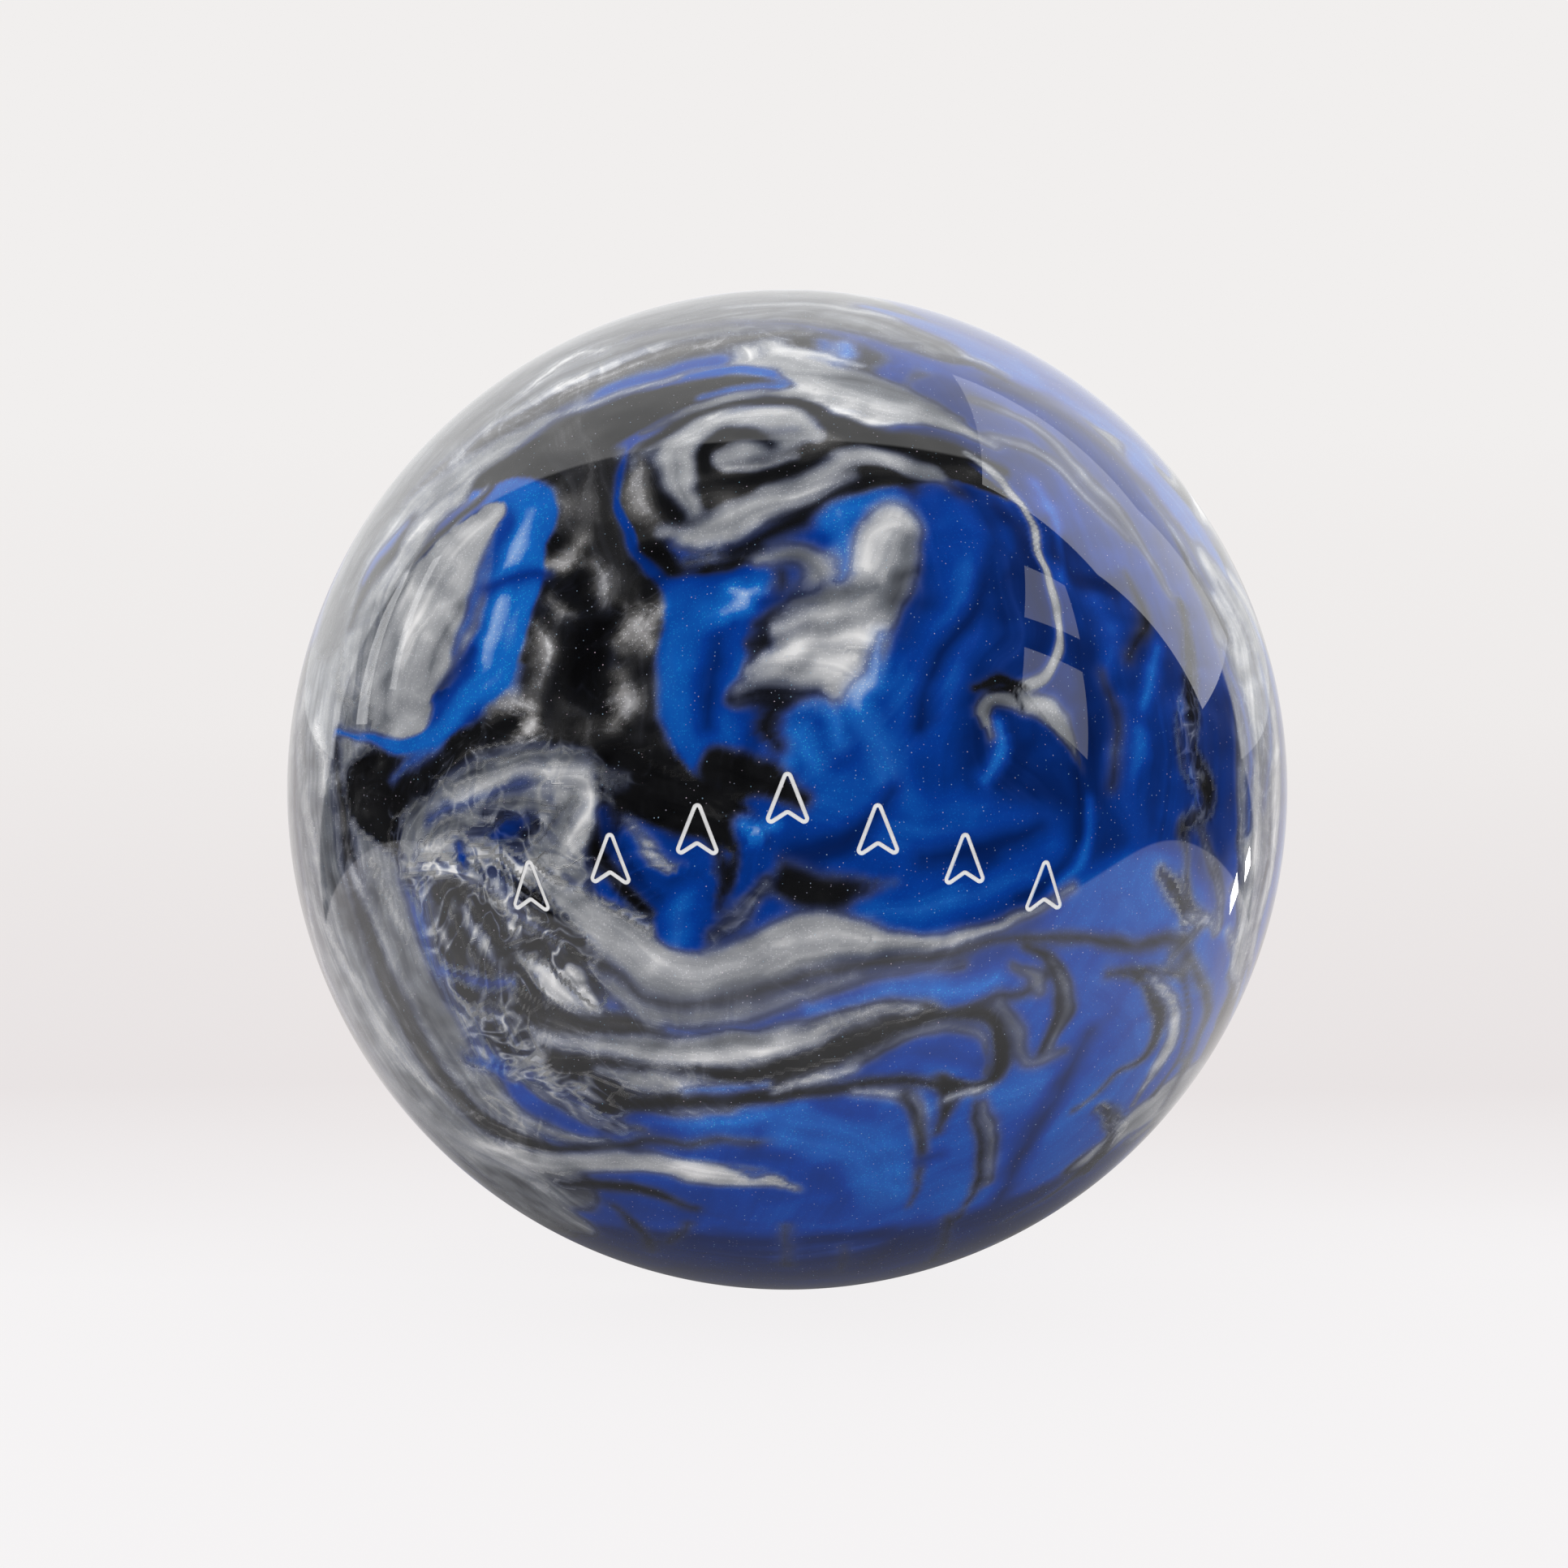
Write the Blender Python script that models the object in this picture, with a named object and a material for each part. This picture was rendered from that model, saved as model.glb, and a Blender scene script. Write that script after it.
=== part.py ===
"""Undrilled three-piece bowling ball: cover, filler, weight block, plugs and the paint of its mark.

Metres, +Z up. The ball stands on z = 0 with its weight block's axis upright and its mark facing -Y.
"""

import math

import bmesh
import bpy
from mathutils import Matrix, Vector

COLLECTION_NAME = "bowling_ball"
BALL_RADIUS = 0.1086
COVER_THICKNESS = 0.019
GAP = 0.0003  # between neighbours that touch in the real ball
WELD = 1e-7

SEGMENTS = 48  # round the ball's axis
COVER_RINGS = 24  # from pole to pole outside
CORE_RINGS = 16  # from pole to pole inside
PLUG_SEGMENTS = 24
SMOOTH_ANGLE = math.radians(35)

PIN_RADIUS = 0.00475
PIN_CHAMFER = 0.0004
DOME_STEPS = 2

BLOCK_RADIUS = 0.0635
BLOCK_CROWN_RADIUS = 0.045
BLOCK_TOP = 0.060  # heights above the ball's centre
BLOCK_SHOULDER = 0.048
BLOCK_BOTTOM = 0.034
BLOCK_CHAMFER = 0.002

MARK_DEPTH = 0.0013  # of every engraved recess
PAINT_TOP = 0.00055  # below the ball's surface
PAINT_BOTTOM = 0.0010
CUTTER_REACH = 0.002  # how far a cutter stands out of the ball

CG_MARK_RADIUS = 0.0013
CG_MARK_ARC = 0.0254  # from the pin's axis, along the surface, towards the back
CG_SEGMENTS = 16

ARROW_COUNT = 7
ARROW_PITCH = math.radians(9.6)  # in longitude
ARROW_CENTRE_LATITUDE = math.radians(5.1)
ARROW_STEP_DOWN = math.radians(3.4)  # of each arrow from its inner neighbour
ARROW_OUTLINE = ((0.0, 0.0060), (-0.0046, -0.0056), (0.0, -0.0026), (0.0046, -0.0056))  # centre line
ARROW_PAINT_WIDTH = 0.0012

MATERIALS = {  # name: (colour, roughness, metallic)
    "cover_resin": ((0.02, 0.07, 0.30, 1.0), 0.08, 0.0),
    "filler_resin": ((0.42, 0.40, 0.36, 1.0), 0.75, 0.0),
    "block_resin": ((0.30, 0.11, 0.08, 1.0), 0.65, 0.0),
    "dowel_resin": ((0.62, 0.60, 0.55, 1.0), 0.55, 0.0),
    "pin_resin": ((0.10, 0.14, 0.22, 1.0), 0.10, 0.0),
    "mark_paint": ((0.86, 0.87, 0.88, 1.0), 0.45, 0.0),
}


def clear_scene():
    for obj in list(bpy.data.objects):
        bpy.data.objects.remove(obj)


def make_collection(name):
    collection = bpy.data.collections.new(name)
    bpy.context.scene.collection.children.link(collection)
    return collection


def make_material(name):
    colour, roughness, metallic = MATERIALS[name]
    material = bpy.data.materials.new(name)
    material.use_nodes = True
    shader = material.node_tree.nodes["Principled BSDF"]
    shader.inputs["Base Color"].default_value = colour
    shader.inputs["Roughness"].default_value = roughness
    shader.inputs["Metallic"].default_value = metallic
    material.diffuse_color = colour
    return material


def make_object(name, bm, collection, material=None):
    """An object of this mesh, centred on the ball."""
    bmesh.ops.recalc_face_normals(bm, faces=bm.faces)
    mesh = bpy.data.meshes.new(name)
    bm.to_mesh(mesh)
    bm.free()
    mesh.shade_smooth()
    mesh.set_sharp_from_angle(angle=SMOOTH_ANGLE)
    if material:
        mesh.materials.append(material)
    obj = bpy.data.objects.new(name, mesh)
    obj.location.z = BALL_RADIUS
    collection.objects.link(obj)
    return obj


def as_cutter(obj):
    obj.hide_render = True
    obj.display_type = "WIRE"
    return obj


def arc(radius, first, last, steps):
    """Points (distance from axis, height) on a sphere between two polar angles."""
    angles = [first + (last - first) * step / steps for step in range(steps + 1)]
    return [(radius * math.sin(angle), radius * math.cos(angle)) for angle in angles]


def sphere_below_hole(radius, hole_radius, rings):
    """The profile of a sphere from the edge of a hole at its top down to its bottom pole."""
    edge = math.asin(hole_radius / radius)
    ring_angle = math.pi / rings
    points = [(hole_radius, radius * math.cos(edge))] + arc(radius, ring_angle, math.pi, rings - 1)
    points[-1] = (0.0, -radius)
    return points


def turned(profile, segments):
    """A mesh of a profile turned about the ball's axis."""
    bm = bmesh.new()
    verts = [bm.verts.new((distance, 0.0, height)) for distance, height in profile]
    edges = [bm.edges.new(ends) for ends in zip(verts, verts[1:])]
    bmesh.ops.spin(
        bm,
        geom=verts + edges,
        cent=(0.0, 0.0, 0.0),
        axis=(0.0, 0.0, 1.0),
        angle=math.tau,
        steps=segments,
        use_merge=True,
    )
    bmesh.ops.remove_doubles(bm, verts=bm.verts, dist=WELD)
    return bm


def offset_outline(points, distance):
    """An anticlockwise outline moved outwards by this distance, with mitred corners."""
    moved = []
    for index, point in enumerate(points):
        before = (point - points[index - 1]).normalized()
        after = (points[(index + 1) % len(points)] - point).normalized()
        normal_before = Vector((before.y, -before.x))
        normal_after = Vector((after.y, -after.x))
        mitre = (normal_before + normal_after) / (1.0 + normal_before.dot(normal_after))
        moved.append(point + mitre * distance)
    return moved


def arrow_ring(bm, index, width, top, bottom):
    """Adds one arrow's outline as a ring of this width, between two depths in the ball's front."""
    place = index - ARROW_COUNT // 2
    latitude = ARROW_CENTRE_LATITUDE - abs(place) * ARROW_STEP_DOWN
    turn = Matrix.Rotation(place * ARROW_PITCH, 3, "Z") @ Matrix.Rotation(-latitude, 3, "X")
    centre_line = [Vector(point) for point in ARROW_OUTLINE]
    loops = []
    for side, radius in ((1, top), (-1, top), (-1, bottom), (1, bottom)):
        outline = offset_outline(centre_line, side * width / 2)
        directions = [turn @ Vector((x, -BALL_RADIUS, z)).normalized() for x, z in outline]
        loops.append([bm.verts.new(direction * radius) for direction in directions])
    for loop, next_loop in zip(loops, loops[1:] + loops[:1]):
        for corner in range(len(centre_line)):
            before = corner - 1
            bm.faces.new((loop[before], loop[corner], next_loop[corner], next_loop[before]))


def cg_plug(bm, radius, top, bottom):
    """Adds a short upright plug on the centre-of-gravity mark's own axis."""
    tilt = Matrix.Rotation(-CG_MARK_ARC / BALL_RADIUS, 4, "X")
    middle = Matrix.Translation((0.0, 0.0, (top + bottom) / 2))
    bmesh.ops.create_cone(
        bm,
        cap_ends=True,
        segments=CG_SEGMENTS,
        radius1=radius,
        radius2=radius,
        depth=top - bottom,
        matrix=tilt @ middle,
    )


def mark_cutter(cutters):
    """One mesh that cuts every engraved recess."""
    top = BALL_RADIUS + CUTTER_REACH
    bottom = BALL_RADIUS - MARK_DEPTH
    bm = bmesh.new()
    for index in range(ARROW_COUNT):
        arrow_ring(bm, index, ARROW_PAINT_WIDTH + 2 * GAP, top, bottom)
    cg_plug(bm, CG_MARK_RADIUS + GAP, top, bottom)
    return as_cutter(make_object("mark_cutter", bm, cutters))


def build_coverstock(parts, cutters):
    hole_radius = PIN_RADIUS + GAP
    outside = sphere_below_hole(BALL_RADIUS, hole_radius, COVER_RINGS)
    inside = sphere_below_hole(BALL_RADIUS - COVER_THICKNESS, hole_radius, CORE_RINGS)
    shell = turned(inside[::-1] + outside, SEGMENTS)
    cover = make_object("coverstock", shell, parts, make_material("cover_resin"))
    engraving = cover.modifiers.new("engraving", "BOOLEAN")
    engraving.operation = "DIFFERENCE"
    engraving.solver = "EXACT"
    engraving.object = mark_cutter(cutters)


def block_profile(clearance):
    """The weight block's side from its crown's edge down to its bottom face's edge."""
    return [
        (BLOCK_CROWN_RADIUS + clearance, BLOCK_TOP + clearance),
        (BLOCK_RADIUS + clearance, BLOCK_SHOULDER + clearance),
        (BLOCK_RADIUS + clearance, BLOCK_BOTTOM + BLOCK_CHAMFER - clearance),
        (BLOCK_RADIUS - BLOCK_CHAMFER + clearance, BLOCK_BOTTOM - clearance),
    ]


def build_core(parts):
    core_radius = BALL_RADIUS - COVER_THICKNESS - GAP
    hole_radius = PIN_RADIUS + GAP
    hollow = [(hole_radius, BLOCK_TOP + GAP)] + block_profile(GAP) + [(0.0, BLOCK_BOTTOM - GAP)]
    outside = sphere_below_hole(core_radius, hole_radius, CORE_RINGS)
    filler = turned(hollow[::-1] + outside, SEGMENTS)
    make_object("filler_core", filler, parts, make_material("filler_resin"))

    block = turned([(0.0, BLOCK_TOP)] + block_profile(0.0) + [(0.0, BLOCK_BOTTOM)], SEGMENTS)
    make_object("weight_block", block, parts, make_material("block_resin"))

    edge = math.asin(PIN_RADIUS / core_radius)
    dowel_profile = arc(core_radius, 0.0, edge, DOME_STEPS)
    dowel_profile += [(PIN_RADIUS, BLOCK_TOP + GAP), (0.0, BLOCK_TOP + GAP)]
    dowel = turned(dowel_profile, PLUG_SEGMENTS)
    make_object("core_dowel", dowel, parts, make_material("dowel_resin"))


def build_locator_pin(parts):
    """A plug whose top follows the ball and whose lower edge is chamfered."""
    bottom = BALL_RADIUS - COVER_THICKNESS
    edge = math.asin(PIN_RADIUS / BALL_RADIUS)
    profile = arc(BALL_RADIUS, 0.0, edge, DOME_STEPS)
    profile += [
        (PIN_RADIUS, bottom + PIN_CHAMFER),
        (PIN_RADIUS - PIN_CHAMFER, bottom),
        (0.0, bottom),
    ]
    pin = turned(profile, PLUG_SEGMENTS)
    make_object("locator_pin", pin, parts, make_material("pin_resin"))


def build_mark_paint(parts):
    paint = make_material("mark_paint")
    top = BALL_RADIUS - PAINT_TOP
    bottom = BALL_RADIUS - PAINT_BOTTOM
    for index in range(ARROW_COUNT):
        bm = bmesh.new()
        arrow_ring(bm, index, ARROW_PAINT_WIDTH, top, bottom)
        make_object(f"arrow_paint_{index + 1}", bm, parts, paint)
    bm = bmesh.new()
    cg_plug(bm, CG_MARK_RADIUS, top, bottom)
    make_object("cg_mark_paint", bm, parts, paint)


def main():
    clear_scene()
    parts = make_collection(COLLECTION_NAME)
    cutters = make_collection("cutters")
    build_coverstock(parts, cutters)
    build_core(parts)
    build_locator_pin(parts)
    build_mark_paint(parts)


main()
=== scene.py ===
"""Looks of an undrilled bowling ball: marbled pearl cover, engraved arrows, plugs, studio and camera."""

import math

import bmesh
import bpy
import numpy as np
from mathutils import Matrix, Vector, noise


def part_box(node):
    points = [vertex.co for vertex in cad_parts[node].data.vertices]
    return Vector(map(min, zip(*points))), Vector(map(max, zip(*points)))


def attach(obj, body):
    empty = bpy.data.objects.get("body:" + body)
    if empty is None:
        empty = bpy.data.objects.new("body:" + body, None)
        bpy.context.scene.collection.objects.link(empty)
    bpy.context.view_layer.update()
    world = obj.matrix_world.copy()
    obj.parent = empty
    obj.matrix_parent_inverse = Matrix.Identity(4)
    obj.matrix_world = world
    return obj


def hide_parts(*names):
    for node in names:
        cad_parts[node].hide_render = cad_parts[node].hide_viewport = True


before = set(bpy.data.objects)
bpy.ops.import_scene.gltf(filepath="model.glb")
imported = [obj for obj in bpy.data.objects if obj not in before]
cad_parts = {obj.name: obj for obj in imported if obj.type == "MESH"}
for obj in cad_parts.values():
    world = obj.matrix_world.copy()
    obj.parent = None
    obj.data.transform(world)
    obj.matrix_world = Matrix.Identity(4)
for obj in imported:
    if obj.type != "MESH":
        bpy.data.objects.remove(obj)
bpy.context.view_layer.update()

COVER_LOW, COVER_HIGH = (Vector(corner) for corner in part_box("coverstock"))
RADIUS = (COVER_HIGH.x - COVER_LOW.x) / 2
CENTRE = Vector((0.0, 0.0, RADIUS))

# The ball's front, as the camera sees it: a disc of radius 1, with x to the right and y up.
CAMERA_ELEVATION = math.radians(6.0)
CAMERA_DISTANCE = 1.3
OUTLINE_SLOPE = RADIUS / math.sqrt(CAMERA_DISTANCE**2 - RADIUS**2)
TOWARDS = Vector((0.0, -math.cos(CAMERA_ELEVATION), math.sin(CAMERA_ELEVATION)))
UPWARDS = Vector((0.0, math.sin(CAMERA_ELEVATION), math.cos(CAMERA_ELEVATION)))
RIGHT = Vector((1.0, 0.0, 0.0))

BLACK, SILVER, BLUE = 0, 1, 2
NOISE_SEED = 7  # without one, Blender's noise differs from run to run


def front_direction(x, y):
    """The direction from the ball's centre to what the camera sees at a place on the front disc."""
    square = x * x + y * y
    reach = CAMERA_DISTANCE - RADIUS * math.sqrt(max(0.0, 1.0 - square))
    reach /= 1.0 + OUTLINE_SLOPE**2 * square
    aside = (RIGHT * x + UPWARDS * y) * (OUTLINE_SLOPE * reach)
    return (aside + TOWARDS * (CAMERA_DISTANCE - reach)).normalized()


def mirrored_point(x, y, distance):
    """What the camera sees in the gloss at a point of the front disc, this far from the surface."""
    normal = front_direction(x, y)
    view = (TOWARDS * CAMERA_DISTANCE - normal * RADIUS).normalized()
    direction = (normal * (2.0 * normal.dot(view)) - view).normalized()
    return CENTRE + normal * RADIUS + direction * distance


# ---------------------------------------------------------------- marbling
# Each stroke is (pigment, tone, feather, mottle, points). A point is (x, y, half width): its place on the
# front disc, and a half width in ball radii. Later strokes lie over earlier ones. Tone runs from the
# pigment's darkest to its lightest, feather is how soft the edge is, and mottle is how much the stroke
# breaks into drops. Tone is partly the pigment's own lightness and partly painted light: the palest
# small dabs and thin strokes are painted highlights, glints on silver and blue and lit lumps on black.
FRONT_STROKES = [
    # blue ground of the right half, the middle and the bottom
    (BLUE, 0.31, 0.8, 0.0, ((0.5, 0.62, 0.3), (0.66, 0.1, 0.38), (0.62, -0.2, 0.34))),
    (BLUE, 0.53, 0.8, 0.0, ((0.66, -0.4, 0.26), (0.5, -0.6, 0.3), (0.2, -0.75, 0.34), (-0.1, -0.86, 0.2))),
    (BLUE, 0.42, 0.8, 0.0, ((0.1, 0.4, 0.3), (0.1, 0.0, 0.3), (-0.05, -0.4, 0.28), (-0.2, -0.8, 0.3))),
    (BLUE, 0.2, 1.0, 0.0, ((-0.5, -0.86, 0.1), (-0.2, -0.96, 0.22), (0.1, -0.97, 0.24), (0.36, -0.9, 0.16),
        (0.6, -0.78, 0.1))),
    (BLUE, 0.6, 1.0, 0.0, ((0.72, 0.64, 0.06), (0.84, 0.48, 0.06), (0.92, 0.28, 0.04))),
    # right limb
    (SILVER, 0.52, 1.0, 0.1, ((0.84, 0.46, 0.03), (0.92, 0.3, 0.1), (0.95, 0.1, 0.14), (0.95, -0.12, 0.13),
        (0.92, -0.3, 0.07))),
    (BLUE, 0.5, 1.0, 0.1, ((0.88, 0.26, 0.012), (0.92, 0.12, 0.016), (0.92, -0.06, 0.012))),
    (BLACK, 0.6, 0.9, 0.1, ((0.87, 0.4, 0.004), (0.925, 0.28, 0.01), (0.955, 0.14, 0.014),
        (0.945, -0.02, 0.006))),
    (BLUE, 0.36, 0.9, 0.1, ((0.985, 0.16, 0.008), (0.992, 0.02, 0.026), (0.98, -0.14, 0.02),
        (0.955, -0.28, 0.006))),
    (SILVER, 0.84, 0.9, 0.1, ((0.94, 0.26, 0.005), (0.975, 0.12, 0.014), (0.975, -0.04, 0.016),
        (0.965, -0.18, 0.005))),
    (BLACK, 0.52, 0.9, 0.1, ((0.965, -0.02, 0.005), (0.962, -0.12, 0.013), (0.94, -0.24, 0.01),
        (0.91, -0.36, 0.004))),
    (SILVER, 0.74, 0.9, 0.1, ((0.935, 0.02, 0.004), (0.935, -0.1, 0.01), (0.915, -0.24, 0.004))),
    (BLUE, 0.62, 0.9, 0.1, ((0.948, 0.24, 0.004), (0.966, 0.1, 0.009), (0.955, -0.02, 0.004))),
    # grey left limb, all the way round from the top to the bottom
    (SILVER, 0.44, 1.0, 0.1, ((-0.97, 0.1, 0.2), (-0.95, -0.2, 0.18), (-0.84, -0.48, 0.15),
        (-0.68, -0.7, 0.13), (-0.52, -0.84, 0.1))),
    (SILVER, 0.42, 1.0, 0.1, ((-0.8, 0.5, 0.16), (-0.86, 0.24, 0.16), (-0.87, 0.0, 0.14),
        (-0.84, -0.22, 0.13), (-0.76, -0.44, 0.14), (-0.64, -0.62, 0.13), (-0.48, -0.78, 0.09))),
    (SILVER, 0.47, 0.9, 0.1, ((-0.86, 0.42, 0.12), (-0.93, 0.2, 0.14), (-0.95, 0.0, 0.13),
        (-0.9, -0.3, 0.13), (-0.78, -0.54, 0.13), (-0.6, -0.74, 0.1), (-0.44, -0.86, 0.06))),
    (SILVER, 0.3, 1.0, 0.1, ((-0.96, 0.16, 0.012), (-0.97, -0.04, 0.02), (-0.93, -0.22, 0.018),
        (-0.86, -0.42, 0.012))),
    (SILVER, 0.84, 0.9, 0.1, ((-0.94, 0.12, 0.01), (-0.925, 0.06, 0.016), (-0.93, 0.0, 0.008))),
    (SILVER, 0.8, 0.9, 0.1, ((-0.98, 0.04, 0.01), (-0.95, -0.1, 0.016), (-0.93, -0.2, 0.008))),
    (BLACK, 0.62, 0.9, 0.1, ((-0.9, 0.1, 0.016), (-0.89, -0.06, 0.03), (-0.86, -0.2, 0.04),
        (-0.8, -0.38, 0.045), (-0.72, -0.54, 0.045), (-0.62, -0.65, 0.04), (-0.48, -0.72, 0.02))),
    (BLACK, 0.56, 0.9, 0.1, ((-0.97, 0.2, 0.005), (-0.985, 0.06, 0.014), (-0.98, -0.1, 0.018),
        (-0.955, -0.24, 0.006))),
    (SILVER, 0.66, 0.9, 0.1, ((-0.96, 0.24, 0.004), (-0.973, 0.1, 0.012), (-0.965, -0.04, 0.012),
        (-0.95, -0.16, 0.004))),
    (BLACK, 0.64, 0.9, 0.1, ((-0.95, -0.28, 0.004), (-0.9, -0.42, 0.01), (-0.82, -0.555, 0.012),
        (-0.73, -0.665, 0.004))),
    (SILVER, 0.88, 0.9, 0.1, ((-0.96, -0.22, 0.005), (-0.93, -0.345, 0.014), (-0.87, -0.475, 0.006))),
    (SILVER, 0.72, 0.8, 0.1, ((-0.865, -0.17, 0.008), (-0.82, -0.27, 0.013), (-0.765, -0.39, 0.006))),
    (SILVER, 0.66, 0.8, 0.1, ((-0.83, -0.15, 0.006), (-0.79, -0.24, 0.01), (-0.75, -0.32, 0.005))),
    (SILVER, 0.8, 0.9, 0.1, ((-0.91, -0.3, 0.012), (-0.86, -0.4, 0.02), (-0.78, -0.52, 0.014),
        (-0.73, -0.58, 0.006))),
    (BLACK, 0.6, 1.0, 0.0, ((-0.92, -0.36, 0.006), (-0.87, -0.47, 0.012), (-0.8, -0.57, 0.008))),
    (SILVER, 0.7, 1.0, 0.0, ((-0.78, -0.6, 0.03), (-0.66, -0.7, 0.035), (-0.52, -0.77, 0.02))),
    (BLACK, 0.62, 1.0, 0.0, ((-0.86, -0.5, 0.006), (-0.74, -0.66, 0.01), (-0.6, -0.78, 0.01))),
    # upper left limb: pale sheet, grey band with white streaks, then the band round the oval
    (SILVER, 0.3, 0.9, 0.1, ((-0.86, 0.44, 0.16), (-0.78, 0.58, 0.2), (-0.64, 0.74, 0.2), (-0.46, 0.86, 0.2),
        (-0.22, 0.94, 0.2), (0.04, 0.97, 0.18), (0.24, 0.92, 0.12))),
    (BLUE, 0.6, 1.0, 0.0, ((0.16, 0.965, 0.02), (0.3, 0.92, 0.05), (0.44, 0.85, 0.06))),
    (SILVER, 0.62, 0.9, 0.1, ((-0.86, 0.26, 0.07), (-0.82, 0.42, 0.09), (-0.72, 0.57, 0.09),
        (-0.61, 0.66, 0.08), (-0.52, 0.73, 0.04))),
    (SILVER, 0.74, 1.0, 0.1, ((-0.8, 0.44, 0.03), (-0.72, 0.55, 0.04), (-0.64, 0.62, 0.02))),
    (BLACK, 0.74, 0.9, 0.1, ((-0.74, 0.6, 0.015), (-0.64, 0.68, 0.035), (-0.5, 0.76, 0.05),
        (-0.34, 0.84, 0.045), (-0.16, 0.89, 0.035), (0.02, 0.915, 0.02), (0.24, 0.89, 0.014))),
    (SILVER, 0.92, 0.8, 0.3, ((-0.53, 0.765, 0.004), (-0.45, 0.805, 0.013), (-0.36, 0.85, 0.01),
        (-0.27, 0.88, 0.004))),
    (SILVER, 0.95, 0.8, 0.3, ((-0.56, 0.77, 0.004), (-0.5, 0.82, 0.01), (-0.43, 0.865, 0.012),
        (-0.38, 0.875, 0.004))),
    (SILVER, 0.8, 0.8, 0.2, ((-0.66, 0.665, 0.004), (-0.6, 0.72, 0.01), (-0.54, 0.76, 0.004))),
    (SILVER, 0.62, 0.7, 0.0, ((-0.57, 0.69, 0.004), (-0.46, 0.745, 0.01), (-0.36, 0.78, 0.01),
        (-0.22, 0.83, 0.01), (-0.09, 0.852, 0.012), (0.02, 0.86, 0.016))),
    (BLUE, 0.45, 1.0, 0.0, ((-0.3, 0.905, 0.003), (-0.16, 0.928, 0.005), (0.04, 0.93, 0.008),
        (0.2, 0.885, 0.018), (0.34, 0.83, 0.03), (0.44, 0.78, 0.03))),
    (SILVER, 0.4, 1.0, 0.0, ((0.38, 0.78, 0.008), (0.5, 0.72, 0.014), (0.6, 0.62, 0.016),
        (0.69, 0.51, 0.012), (0.76, 0.4, 0.006))),
    (SILVER, 0.85, 0.9, 0.0, ((-0.1, 0.965, 0.006), (0.06, 0.968, 0.01), (0.2, 0.945, 0.004))),
    (BLACK, 0.42, 0.5, 0.0, ((-0.6, 0.62, 0.03), (-0.5, 0.67, 0.05), (-0.4, 0.71, 0.07),
        (-0.26, 0.775, 0.05), (-0.1, 0.812, 0.032), (0.02, 0.8, 0.03))),
    (BLUE, 0.55, 0.4, 0.0, ((-0.19, 0.833, 0.006), (-0.1, 0.843, 0.016), (0.0, 0.832, 0.014),
        (0.04, 0.815, 0.006))),
    (BLUE, 0.62, 0.6, 0.0, ((-0.16, 0.792, 0.006), (-0.09, 0.803, 0.013), (-0.02, 0.812, 0.01))),
    # silver sheet at the top, its palest strokes painted highlights
    (SILVER, 0.58, 0.5, 0.0, ((0.0, 0.86, 0.012), (0.05, 0.838, 0.045), (0.12, 0.802, 0.058),
        (0.22, 0.766, 0.045), (0.31, 0.735, 0.028), (0.4, 0.69, 0.012))),
    (SILVER, 0.86, 0.8, 0.0, ((0.0, 0.875, 0.008), (0.07, 0.868, 0.012), (0.14, 0.85, 0.005))),
    (SILVER, 0.34, 0.9, 0.0, ((0.02, 0.835, 0.006), (0.12, 0.825, 0.014), (0.22, 0.795, 0.012),
        (0.33, 0.75, 0.006))),
    (SILVER, 0.98, 0.7, 0.0, ((0.06, 0.785, 0.006), (0.11, 0.757, 0.014), (0.16, 0.738, 0.014),
        (0.23, 0.735, 0.006))),
    (SILVER, 0.88, 0.8, 0.0, ((0.02, 0.803, 0.006), (0.07, 0.802, 0.011), (0.12, 0.788, 0.005))),
    (SILVER, 0.92, 0.9, 0.0, ((0.19, 0.765, 0.003), (0.23, 0.755, 0.007), (0.26, 0.745, 0.003))),
    (BLUE, 0.26, 1.0, 0.0, ((0.16, 0.722, 0.004), (0.26, 0.712, 0.01), (0.36, 0.69, 0.01),
        (0.44, 0.66, 0.006))),
    # dark streak and small spot in the veiled blue of the upper right
    (BLACK, 0.5, 0.9, 0.1, ((0.31, 0.87, 0.005), (0.37, 0.855, 0.012), (0.43, 0.82, 0.008),
        (0.48, 0.79, 0.005))),
    (SILVER, 0.9, 0.8, 0.0, ((0.36, 0.868, 0.003), (0.4, 0.85, 0.007), (0.42, 0.838, 0.003))),
    (BLUE, 0.16, 1.0, 0.0, ((0.42, 0.81, 0.012), (0.52, 0.765, 0.018), (0.62, 0.7, 0.018),
        (0.71, 0.615, 0.018), (0.78, 0.52, 0.016), (0.84, 0.42, 0.012))),
    (SILVER, 0.44, 1.0, 0.0, ((0.42, 0.7, 0.01), (0.52, 0.66, 0.014), (0.6, 0.58, 0.012),
        (0.66, 0.52, 0.006))),
    # black mass left of the middle; its pale-toned dabs are painted highlights on lit lumps
    (BLACK, 0.4, 0.5, 0.15, ((-0.46, 0.66, 0.1), (-0.42, 0.54, 0.12), (-0.38, 0.38, 0.16),
        (-0.38, 0.22, 0.17), (-0.42, 0.12, 0.13), (-0.3, 0.06, 0.09), (-0.16, 0.03, 0.07))),
    (BLACK, 0.3, 0.5, 0.2, ((-0.56, 0.1, 0.07), (-0.68, 0.05, 0.06), (-0.84, 0.0, 0.07),
        (-0.8, -0.05, 0.06))),
    (BLACK, 0.16, 0.9, 0.1, ((-0.5, 0.36, 0.03), (-0.44, 0.42, 0.03), (-0.38, 0.3, 0.05),
        (-0.42, 0.2, 0.03))),
    (BLACK, 0.6, 1.0, 0.0, ((-0.44, 0.7, 0.06), (-0.39, 0.61, 0.07), (-0.36, 0.5, 0.06),
        (-0.34, 0.42, 0.04))),
    (BLACK, 0.58, 1.0, 0.0, ((-0.3, 0.28, 0.03), (-0.29, 0.2, 0.05), (-0.29, 0.13, 0.03))),
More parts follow.
